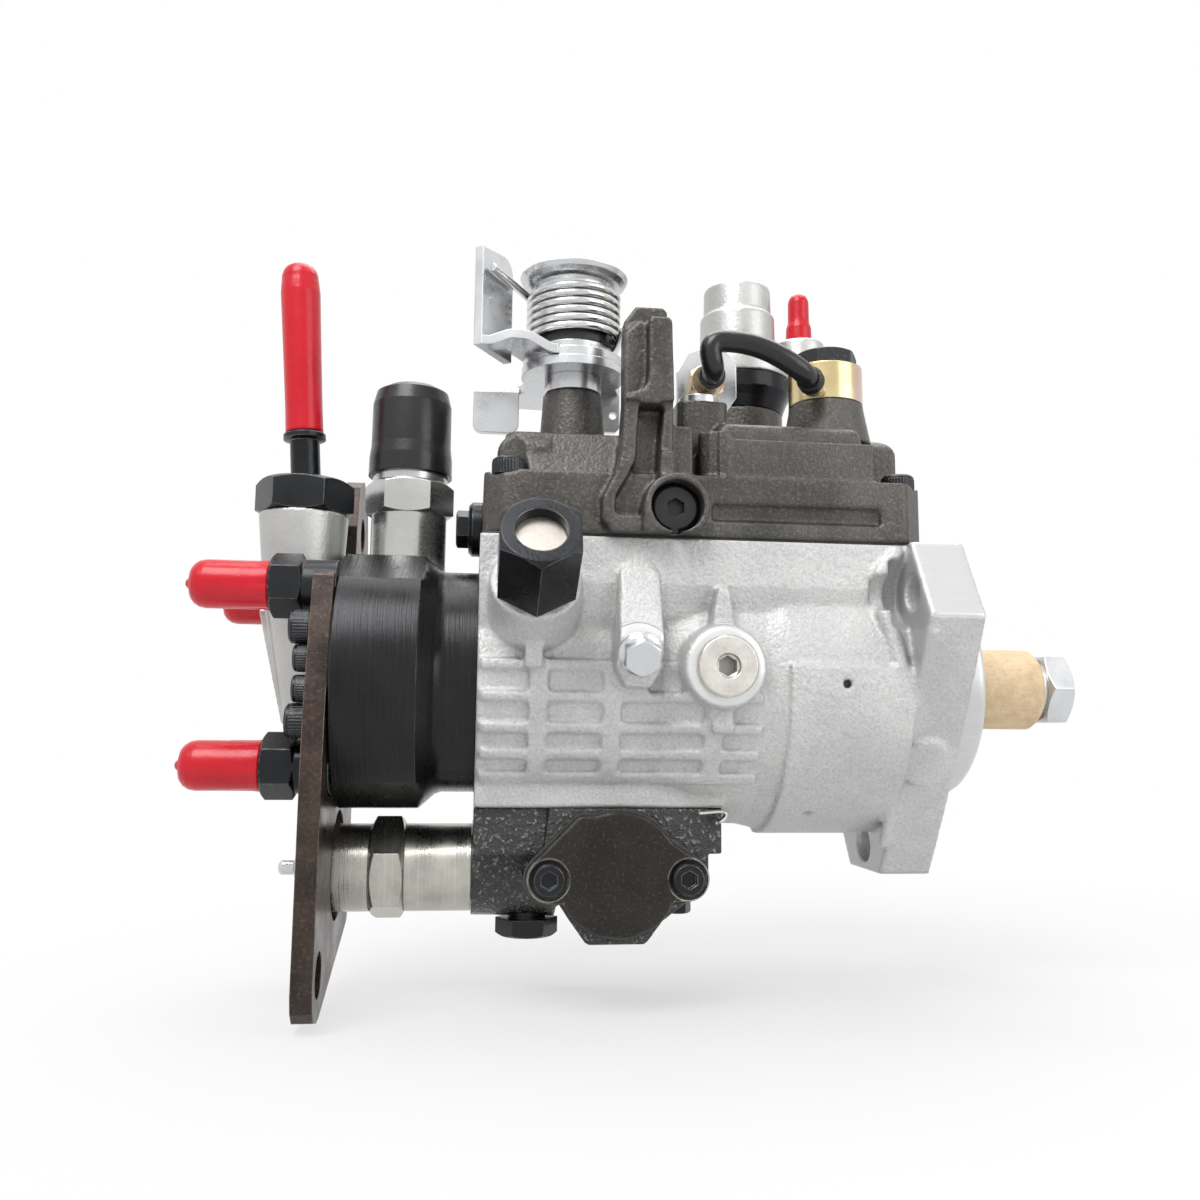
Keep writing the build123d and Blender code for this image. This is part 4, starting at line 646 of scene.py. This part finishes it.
def shell(name: str, grids: Sequence[Grid]) -> bpy.types.Mesh:
    """Joins grids of points into one mesh of closed surfaces that face outwards.

    Args:
        name: name of the mesh.
        grids: arrays (rows, columns, 3) whose columns wrap round, each with True where the rows
            wrap as well; otherwise its first and last rows are single points, the poles.

    Returns:
        The mesh. A surface whose signed volume, sum of a . (b x c) / 6, is negative is turned.
    """
    points, faces, base = [], [], 0
    for grid, ring in grids:
        rows, columns = grid.shape[:2]
        used = rows if ring else rows - 2
        index = base + np.arange(used * columns).reshape(used, columns)
        body = grid if ring else grid[1:-1]
        lower = index if ring else index[:-1]
        upper = np.roll(index, -1, axis=0) if ring else index[1:]
        quads = np.stack([lower, np.roll(lower, -1, 1), np.roll(upper, -1, 1), upper], -1)
        triangles = np.concatenate([quads[..., [0, 1, 2]].reshape(-1, 3),
                                    quads[..., [0, 2, 3]].reshape(-1, 3)])
        loose = body.reshape(-1, 3)
        if not ring:
            first, last = base + used * columns, base + used * columns + 1
            fan = [np.stack([np.full(columns, first), np.roll(index[0], -1), index[0]], -1),
                   np.stack([np.full(columns, last), index[-1], np.roll(index[-1], -1)], -1)]
            triangles = np.concatenate([triangles, *fan])
            loose = np.concatenate([loose, grid[0, :1], grid[-1, :1]])
        a, b, c = (loose[triangles[:, k] - base] for k in range(3))
        if np.einsum("ij,ij->", a, np.cross(b, c)) < 0.0:
            triangles = triangles[:, ::-1]
        points.append(loose)
        faces.append(triangles)
        base += len(loose)
    mesh = bpy.data.meshes.new(name)
    mesh.from_pydata(np.concatenate(points).tolist(), [], np.concatenate(faces).tolist())
    mesh.update()
    mesh.shade_smooth()
    mesh.set_sharp_from_angle(angle=SHARP_ANGLE)
    return mesh


@dataclass
class KnurledHeads(Group):
    """Knurled rims: radius - sink + depth * (0.5 + 0.5 cos(flutes * angle)) round socket heads."""

    flutes: int = 34
    depth: float = 0.22
    sink: float = 0.08
    plate_face: float = -191.9
    plate_spots: tuple[tuple[float, float, float, float], ...] = (
        (-30.5, 13.5, 4.9, 5.0), (-30.5, -13.5, 4.9, 5.0), (30.5, 13.5, 4.9, 5.0),
        (30.5, -13.5, 4.9, 5.0), (-31.0, 4.4, 3.9, 3.7), (-31.0, -4.4, 3.9, 3.7))
    cover_seat: float = 59.0
    cover_head: float = 5.0
    cover_spots: tuple[tuple[float, float], ...] = (
        (-136.0, -36.5), (-15.0, -33.0), (-136.0, 36.0), (-78.0, 37.5), (-15.0, 34.0))

    def rim(self, origin: Point, axis: Point, radius: float, low: float, high: float) -> Grid:
        """One fluted ring over a head of the given radius, from low to high along the axis."""
        outline = [(radius - 0.4, low), (radius, low), (radius, high - 0.4),
                   (radius - 0.3, high), (radius - 0.4, high)]
        lathe = Lathe(origin, axis, outline, count=self.flutes * 6, step=2.0)
        reach, height, turn = lathe.sheets()
        outer = (reach > radius - 0.05) * self.depth
        fluted = reach - self.sink + outer * (0.5 + 0.5 * np.cos(self.flutes * turn))
        return lathe.grid(fluted, height, turn), True

    def build(self) -> None:
        """Adds the rims of the plate screws and of the cover screws."""
        plate = [self.rim((self.plate_face, y, z), REAR, radius, 0.5, top)
                 for y, z, radius, top in self.plate_spots]
        cover = [self.rim((x, y, self.cover_seat), UP, self.cover_head, 0.4, 4.2)
                 for x, y in self.cover_spots]
        for name, rims, like in (("plate_screw_knurls", plate, "plate_screws"),
                                 ("cover_screw_knurls", cover, "cover_screws")):
            self.place(name, shell(name, rims), BLACK_STEEL, like, instead=False)


@dataclass
class TransitSleeve(Group):
    """Spirally wound board sleeve on the taper.

    The seam climbs at about 45 degrees: angle = start + x / radius. Beside it the outer ply is
    proud by lap * exp(-gap / 3), and the joint itself is a groove of depth * exp(-(gap / 0.3)^2).
    """

    radius: float = 13.5
    bore: float = 12.3
    shaft: float = 7.4
    foot: float = 11.8
    lip: float = 38.4
    mouth: float = 43.0
    start: float = 3.4
    depth: float = 0.22
    lap: float = 0.10

    def build(self) -> None:
        """Replaces the plain sleeve."""
        outline = [(self.bore, self.foot), (self.radius - 0.25, self.foot), (self.radius, 12.1),
                   (self.radius, 41.4), (self.radius - 0.9, 42.6),
                   (self.radius - 2.0, self.mouth), (self.shaft, self.mouth),
                   (self.shaft, self.lip), (self.bore, self.lip)]
        lathe = Lathe(CENTRE, FRONT, outline, count=360, step=0.5)
        radius, height, turn = lathe.sheets()
        seam = np.mod(turn - height / self.radius - self.start + np.pi, 2.0 * np.pi) - np.pi
        gap = seam * self.radius * 0.7
        outer = radius > self.radius - 1.0
        groove = self.depth * np.exp(-(gap / 0.3) ** 2)
        ply = self.lap * (1.0 - np.where(gap > 0.0, np.exp(-gap / 3.0), 0.0))
        mesh = shell("transit_sleeve", [(lathe.grid(
            radius - outer * (groove + ply), height, turn), True)])
        self.place("transit_sleeve", mesh, BOARD, "shaft_sleeve", "drive")


@dataclass
class AdvanceSpring(Group):
    """Coil spring between the advance cover and the piston, which squeezes it.

    point(t, a) = centre(t) + wire * (cos(a) * radial(t) + sin(a) * binormal(t)), where centre(t)
    runs on a circle of radius coil about the piston's axis and climbs pitch per turn along Y.
    """

    foot: Point = (-101.5, -25.5, -58.3)
    length: float = 14.6
    pitch: float = 3.2
    coil: float = 5.4
    wire: float = 0.8

    def build(self) -> None:
        """Replaces the rigid spring."""
        climb = self.pitch / (2.0 * np.pi)
        turn = np.linspace(0.0, self.length / climb, 260)[:, None]
        around = np.linspace(0.0, 2.0 * np.pi, 20, endpoint=False)[None, :, None]
        zero = np.zeros_like(turn)
        radial = np.stack([np.cos(turn), zero, np.sin(turn)], -1)
        tangent = np.stack([-self.coil * np.sin(turn), zero + climb, self.coil * np.cos(turn)], -1)
        binormal = np.cross(tangent / np.linalg.norm(tangent, axis=-1, keepdims=True), radial)
        centre = self.foot + self.coil * radial + np.stack([zero, climb * turn, zero], -1)
        tube = centre + self.wire * (np.cos(around) * radial + np.sin(around) * binormal)
        caps = [np.broadcast_to(end, tube[:1].shape) for end in (centre[:1], centre[-1:])]
        mesh = shell("advance_coil", [(np.concatenate([caps[0], tube, caps[1]]) * MM, False)])
        piece = self.place("advance_coil", mesh, SPRING_STEEL, "advance_spring", None)
        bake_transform(piece)


@dataclass
class OutletCaps(Group):
    """Dipped vinyl caps on the delivery unions.

    The mouth is drawn in along soft folds: radius - fold * fade(height) * ridge(angle)^1.5, where
    ridge is a sum of three cosines, held above 0, and fade falls off away from the mouth.
    """

    mouth: float = -205.15
    bore: float = 6.05
    outer: float = 7.25
    fold: float = 0.42

    def cap(self, number: int, y: float, z: float) -> None:
        """Replaces one cap."""
        bore, outer = self.bore, self.outer
        outline = [(bore, 0.0), (outer - 0.1, 0.0), (outer + 0.25, 0.5), (outer + 0.1, 1.8),
                   (outer, 3.0), (outer, 18.6), (outer - 0.35, 20.4), (outer - 1.2, 21.8),
                   (outer - 2.3, 22.7), (outer - 4.0, 23.2), (1.9, 23.45), (1.3, 24.2),
                   (0.8, 24.6), (0.0, 24.8)]
        inner = [(0.0, 21.0), (bore, 21.0)]
        lathe = Lathe((self.mouth, y, z), REAR, inner + outline, count=120, step=0.7, ring=False)
        radius, height, turn = lathe.sheets()
        phase = turn + 1.3 * number
        ridge = (0.5 * np.cos(5.0 * phase) + 0.3 * np.cos(9.0 * phase + 1.0)
                 + 0.2 * np.cos(14.0 * phase + 2.0))
        fade = np.clip(1.0 - height / 15.0, 0.0, 1.0) ** 1.4
        outside = radius > outer - 0.3
        folded = radius - outside * self.fold * fade * np.clip(ridge, 0.0, 1.0) ** 1.5
        name = f"outlet_cap_{number}"
        mesh = shell(f"{name}_vinyl", [(lathe.grid(folded, height, turn), False)])
        self.place(f"{name}_vinyl", mesh, VINYL, name, f"outlet_plug_{number}")

    def build(self) -> None:
        """Replaces all four caps."""
        for number, (y, z) in enumerate(OUTLET_SPOTS, 1):
            self.cap(number, y, z)


@dataclass
class DippedCaps(Group):
    """The long inlet cap and the small port cap, with round ends and a dipped skin.

    Outside, radius = outline * (1 - |sag * cos(2 angle) * sin(pi height / length)|).
    """

    sag: float = 0.012
    lean: float = 4.0
    inlet: Point = (-200.3, 0.5, 64.3)
    climb: float = 15.4
    port: Point = (-25.9, 30.0, 130.4)

    def cap(self, node: str, body: str, origin: Point, axis: Point, outline: Outline) -> None:
        """Replaces one cap by a turned skin along its outline."""
        lathe = Lathe(origin, axis, outline, count=96, step=0.8, ring=False)
        radius, height, turn = lathe.sheets()
        length = float(height.max())
        wave = self.sag * np.cos(2.0 * turn) * np.sin(np.pi * height / length)
        outside = radius > outline[1][0] + 0.3
        grid = lathe.grid(radius * (1.0 - outside * np.abs(wave)), height, turn)
        self.place(f"{node}_vinyl", shell(f"{node}_vinyl", [(grid, False)]), VINYL, node, body)

    def build(self) -> None:
        """Replaces both caps."""
        lean = math.radians(self.lean)
        axis = (-math.sin(lean), 0.0, math.cos(lean))
        foot = tuple(c + self.climb * a for c, a in zip(self.inlet, axis))
        self.cap("inlet_cap", "inlet_plug", foot, axis, [
            (0.0, 53.0), (4.75, 53.0), (4.75, 0.0), (5.8, 0.0), (6.0, 0.4), (5.95, 8.0),
            (6.35, 43.0), (6.4, 47.5), (6.15, 50.4), (6.0, 51.6), (5.9, 53.2), (5.4, 54.9),
            (4.6, 56.1), (3.4, 56.9), (1.8, 57.3), (0.0, 57.4)])
        self.cap("port_cap", "port_plug", self.port, UP, [
            (0.0, 15.0), (3.25, 15.0), (3.25, 0.0), (4.7, 0.0), (4.9, 0.3), (4.75, 6.0),
            (4.5, 7.0), (4.1, 8.0), (4.0, 9.0), (3.9, 16.2), (3.6, 17.5), (3.0, 18.6),
            (2.0, 19.3), (0.9, 19.58), (0.0, 19.6)])


@dataclass
class HydraulicHead(Group):
    """Black turned head with its two flats, rotor bore and pin ends.

    Where a flat crosses the barrel, radius = min(barrel, flat / cos(angle - flat angle)).
    """

    shoulder: float = -161.2
    neck_front: float = -144.0
    barrel: float = 39.9
    neck: float = 34.8
    pilot: float = 33.95
    bore: float = 11.0
    bore_floor: float = 4.0
    flat: float = 38.7
    flat_angles: tuple[float, float] = (120.0, -114.0)
    pin: float = 1.3
    pin_station: float = -169.7

    def build(self) -> None:
        """Replaces the head and sets its two dark pins."""
        low, high = (float(c) / MM for c in (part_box("hydraulic_head")[k][0] for k in (0, 1)))
        floor = low + self.bore_floor
        outline = [(0.0, low), (self.barrel - 0.8, low), (self.barrel, low + 0.8),
                   (self.barrel, self.shoulder), (self.neck + 0.8, -156.4), (self.neck, -154.4),
                   (self.neck, self.neck_front), (self.pilot, self.neck_front),
                   (self.pilot, high), (self.bore, high), (self.bore, floor), (0.0, floor)]
        lathe = Lathe(CENTRE, FRONT, outline, count=360, step=1.6, ring=False)
        radius, height, turn = lathe.sheets()
        for angle in self.flat_angles:
            off = np.cos(turn - math.radians(angle))
            limit = np.where(off > 0.5, self.flat / np.maximum(off, 0.5), 1000.0)
            limit = np.where(height < self.shoulder + 1.9, limit, 1000.0)
            radius = np.minimum(radius, limit)
        mesh = shell("head_skin", [(lathe.grid(radius, height, turn), False)])
        self.place("head_skin", mesh, BLACK_TURNED, "hydraulic_head")
        pins = []
        for angle in self.flat_angles:
            out = turned_to(angle)
            rim = [(0.0, -0.6), (self.pin, -0.6), (self.pin, 0.06), (self.pin - 0.25, 0.12),
                   (self.pin - 0.35, 0.02), (0.0, 0.02)]
            seat = (self.pin_station, *(self.flat * c for c in out[1:]))
            spot = Lathe(seat, out, rim, count=32, step=0.4, ring=False)
            pins.append((spot.grid(*spot.sheets()), False))
        self.place("head_pins", shell("head_pins", pins), RUBBER, "hydraulic_head",
                   instead=False)


@dataclass
class DeliveryUnions(Group):
    """Unions with turned shanks, chamfered hexagons and threads.

    Across the hexagon, radius = min(turned profile, half flats / cos(angle folded into 60 deg)).
    On the thread, radius falls by ridge * (0.5 + 0.5 cos(2 pi height / pitch)).
    """

    root: float = -185.9
    shank: float = 8.0
    across: float = 17.0
    corner_share: float = 1.1547
    hexagon: tuple[float, float] = (9.6, 19.2)
    thread: float = 6.0
    pitch: float = 1.0
    ridge: float = 0.28
    nozzle: float = 1.6

    def build(self) -> None:
        """Replaces all four unions."""
        corner = self.across / 2.0 * self.corner_share
        face = self.across * 0.485
        rise = (corner - face) * 0.55
        low, high = self.hexagon
        outline = [(0.0, -0.3), (self.shank, -0.3), (self.shank, low), (face, low),
                   (corner, low + rise), (corner, high - rise), (face, high),
                   (self.thread, high), (self.thread, 32.0), (4.6, 33.5), (self.nozzle, 33.5),
                   (self.nozzle, 12.0), (0.0, 12.0)]
        grids = []
        for y, z in sorted(OUTLET_SPOTS):
            lathe = Lathe((self.root, y, z), REAR, outline, count=144, step=0.5, ring=False)
            radius, height, turn = lathe.sheets()
            fold = np.mod(turn + np.pi / 6.0, np.pi / 3.0) - np.pi / 6.0
            radius = np.minimum(radius, self.across / 2.0 / np.cos(fold))
            on_thread = (np.abs(radius - self.thread) < 0.01) & (height > high + 0.2)
            wave = 0.5 + 0.5 * np.cos(2.0 * np.pi * height / self.pitch)
            grids.append((lathe.grid(radius - on_thread * self.ridge * wave, height, turn), False))
        self.place("union_skins", shell("union_skins", grids), BLACK_STEEL, "delivery_unions")


@dataclass
class LeakHose(Group):
    """Short moulded hose from the leak nut over to the banjo ring, one smooth line."""

    length: float = 55.8
    route: tuple[Point, ...] = (
        HOSE_START, (-74.0, -37.8, 93.0), (-76.4, -38.6, 103.0), (-66.0, -38.0, 103.6),
        (-58.0, -37.8, 101.8), (-50.2, -37.4, 98.0), (-43.9, -35.0, 94.8), HOSE_END)

    def build(self) -> None:
        """Replaces the hose with a round spline tube."""
        curve = bpy.data.curves.new("back_leak_hose", "CURVE")
        curve.dimensions = "3D"
        curve.bevel_depth = HOSE_RADIUS * MM
        curve.bevel_resolution = 7
        curve.resolution_u = 16
        curve.use_fill_caps = True
        line = curve.splines.new("NURBS")
        line.points.add(len(self.route) - 1)
        places = np.column_stack([np.array(self.route) * MM, np.ones(len(self.route))])
        line.points.foreach_set("co", places.ravel())
        line.order_u = 3
        line.use_endpoint_u = True
        piece = self.place("back_leak_hose", curve, RUBBER, "leak_hose")


@dataclass
class SteelTab(Group):
    """Bright hooked tab beside the advance housing.

    A flat strip of the given width follows the path, whose corners are relaxed first. Its section
    is a rounded rectangle, with the sign of each cosine and sine kept under the root:
    point = path + width / 2 * cos(a)^(1/2) * across + thick / 2 * sin(a)^(1/2) * normal.
    """

    width: float = 3.4
    thick: float = 0.9
    path: Outline = (
        (-77.5, -39.6), (-74.5, -39.35), (-71.5, -39.1), (-69.6, -39.2), (-69.0, -40.0),
        (-69.7, -41.3), (-71.2, -42.2), (-72.2, -42.6))
    middle_y: float = -27.6
    passes: int = 6

    def build(self) -> None:
        """Replaces the bare wire."""
        knots = np.asarray(self.path, float)
        run = np.linspace(0.0, 1.0, len(knots))
        stops = np.linspace(0.0, 1.0, 41)
        line = np.column_stack([np.interp(stops, run, knots[:, k]) for k in range(2)])
        for _ in range(self.passes):
            line[1:-1] = 0.25 * line[:-2] + 0.5 * line[1:-1] + 0.25 * line[2:]
        slope = np.gradient(line, axis=0)
        slope /= np.linalg.norm(slope, axis=1)[:, None]
        normal = np.column_stack([-slope[:, 1], slope[:, 0]])
        turn = np.linspace(0.0, 2.0 * np.pi, 24, endpoint=False)
        wide, deep = (np.sign(wave) * np.abs(wave) ** 0.5 * size / 2.0
                      for wave, size in ((np.cos(turn), self.width), (np.sin(turn), self.thick)))
        taper = np.clip((1.0 - stops) * 6.0, 0.25, 1.0)[:, None]
        points = np.empty((len(line), len(turn), 3))
        points[..., 0] = line[:, :1] + normal[:, :1] * deep
        points[..., 1] = self.middle_y + wide * taper
        points[..., 2] = line[:, 1:] + normal[:, 1:] * deep
        ends = [np.broadcast_to(points[k].mean(axis=0), points[k].shape)[None] for k in (0, -1)]
        mesh = shell("steel_tab", [(np.concatenate([ends[0], points, ends[1]]) * MM, False)])
        self.place("steel_tab", mesh, PLUG_STEEL, "wire_clip")


@dataclass
class HoseEnds(Group):
    """Ridged bands and a spout collar at the ends of the back-leak hose."""

    start_axis: Point = (-0.10, -0.96, -0.26)
    end_axis: Point = (-0.52, -0.85, 0.09)

    def band(self, origin: Point, axis: Point, low: float, high: float, swell: float) -> Grid:
        """A band of three ridges: radius = hose + swell - 0.25 cos^2(3 pi (h - low) / width)."""
        inner, outer = HOSE_RADIUS - 0.5, HOSE_RADIUS + swell
        outline = [(inner, low), (outer, low), (outer, high), (inner, high)]
        lathe = Lathe(origin, axis, outline, count=72, step=0.2)
        radius, height, turn = lathe.sheets()
        wave = 0.25 * np.cos(3.0 * np.pi * (height - low) / (high - low)) ** 2
        return lathe.grid(radius - (radius > HOSE_RADIUS) * wave, height, turn), True

    def build(self) -> None:
        """Adds the black bands and the brass collar."""
        black = [self.band(HOSE_START, self.start_axis, 0.2, 3.4, 0.75),
                 self.band(HOSE_END, self.end_axis, 1.4, 4.6, 0.85)]
        brass = [self.band(HOSE_END, self.end_axis, -1.2, 1.2, 0.35)]
        for name, bands, finish, like in (("hose_bands", black, RUBBER, "leak_hose"),
                                          ("spout_collar", brass, BRASS, "banjo_ring")):
            self.place(name, shell(name, bands), finish, like, instead=False)


@dataclass
class Studio:
    """Floor, light and camera."""

    eye: Point = (-145.26, -344.96, -18.30)
    sensor: float = 36.0
    focal_px: float = 1065.26
    image_px: float = 1200.0
    yaw: float = 0.118317
    pitch: float = 0.130887
    roll: float = 0.008832
    aim: Point = (-0.08, 0.0, 0.02)
    lamps: tuple[tuple[str, Point, float, float], ...] = (
        ("key", (-0.45, -0.60, 0.90), 0.6, 9.6), ("fill", (0.6, -0.6, 0.3), 0.6, 2.4),
        ("top", (0.0, 0.2, 0.9), 0.8, 7.0))
    world_light: float = 0.30
    floor_z: float = -0.0985
    floor_half: float = 4.0
    floor_colour: Colour = (0.72, 0.72, 0.72)
    fade: tuple[float, float] = (0.16, 0.34)
    least_white: float = 0.6

    def camera(self) -> None:
        """Places the camera from its yaw, pitch and roll."""
        cy, sy = math.cos(self.yaw), math.sin(self.yaw)
        cp, sp = math.cos(self.pitch), math.sin(self.pitch)
        forward = Vector((sy * cp, cy * cp, sp))
        level = Vector((cy, -sy, 0.0))
        rise = level.cross(forward)
        right = math.cos(self.roll) * level + math.sin(self.roll) * rise
        up = math.cos(self.roll) * rise - math.sin(self.roll) * level
        data = bpy.data.cameras.new("camera")
        data.sensor_width = self.sensor
        data.lens = self.focal_px / self.image_px * self.sensor
        data.clip_start = 0.01
        camera = bpy.data.objects.new("camera", data)
        place = Matrix((right, up, -forward)).transposed().to_4x4()
        place.translation = Vector(self.eye) * MM
        camera.matrix_world = place
        bpy.context.scene.collection.objects.link(camera)
        bpy.context.scene.camera = camera

    def lamp(self, name: str, place: Point, size: float, power: float) -> None:
        """Adds a square soft lamp aimed at the pump."""
        data = bpy.data.lights.new(name, "AREA")
        data.size = size
        data.energy = power
        lamp = bpy.data.objects.new(name, data)
        lamp.location = place
        sight = Vector(self.aim) - Vector(place)
        lamp.rotation_euler = sight.to_track_quat("-Z", "Y").to_euler()
        bpy.context.scene.collection.objects.link(lamp)

    def world(self) -> None:
        """White to the camera and to mirrors and glass, mid grey as light."""
        world = bpy.data.worlds.new("studio")
        world.use_nodes = True
        paint = Paint(world.node_tree)
        seen = paint.node("ShaderNodeBackground", {}, {"Color": (1.0, 1.0, 1.0, 1.0)})
        light = paint.node("ShaderNodeBackground", {}, {"Color": (0.95, 0.97, 1.0, 1.0),
                                                        "Strength": self.world_light})
        mix = paint.mix(paint.backdrop_rays(), light, seen)
        paint.node("ShaderNodeOutputWorld", {}, {"Surface": mix.outputs[0]})
        bpy.context.scene.world = world

    def floor(self) -> None:
        """Lays a wide pale floor, plain white far off and partly white under the pump."""
        grid = np.array([(-1, -1), (1, -1), (1, 1), (-1, 1)], float) * self.floor_half
        points = np.column_stack([grid, np.full(4, self.floor_z)])
        mesh = bpy.data.meshes.new("floor")
        mesh.from_pydata(points.tolist(), [], [(0, 1, 2, 3)])
        paint = Surface("floor")
        lit = paint.node("ShaderNodeBsdfDiffuse", {}, {"Color": (*self.floor_colour, 1.0)})
        plain = paint.node("ShaderNodeEmission", {}, {"Color": (1.0, 1.0, 1.0, 1.0)})
        reach = paint.vector("LENGTH", paint.place)
        away = Value(paint, reach.outputs["Value"]).ramp(*self.fade)
        share = (away * (1.0 - self.least_white) + self.least_white) * paint.backdrop_rays()
        mix = paint.mix(share, lit, plain)
        paint.node("ShaderNodeOutputMaterial", {}, {"Surface": mix.outputs[0]})
        mesh.materials.append(paint.material)
        floor = bpy.data.objects.new("floor", mesh)
        bpy.context.scene.collection.objects.link(floor)

    def build(self) -> None:
        """Sets up the whole studio."""
        self.camera()
        self.world()
        self.floor()
        for name, place, size, power in self.lamps:
            self.lamp(name, place, size, power)
        bpy.context.scene.view_settings.view_transform = "Standard"


def main() -> None:
    """Builds the pump's looks in order."""
    logging.basicConfig(level=logging.INFO)
    wardrobe = Wardrobe()
    wardrobe.dress()
    for group in (Castings, LeakHose, KnurledHeads, DippedCaps, HydraulicHead, DeliveryUnions,
                  SteelTab, TransitSleeve, AdvanceSpring, OutletCaps, HoseEnds):
        group(wardrobe).build()
    Studio().build()


if __name__ == "__main__":
    main()
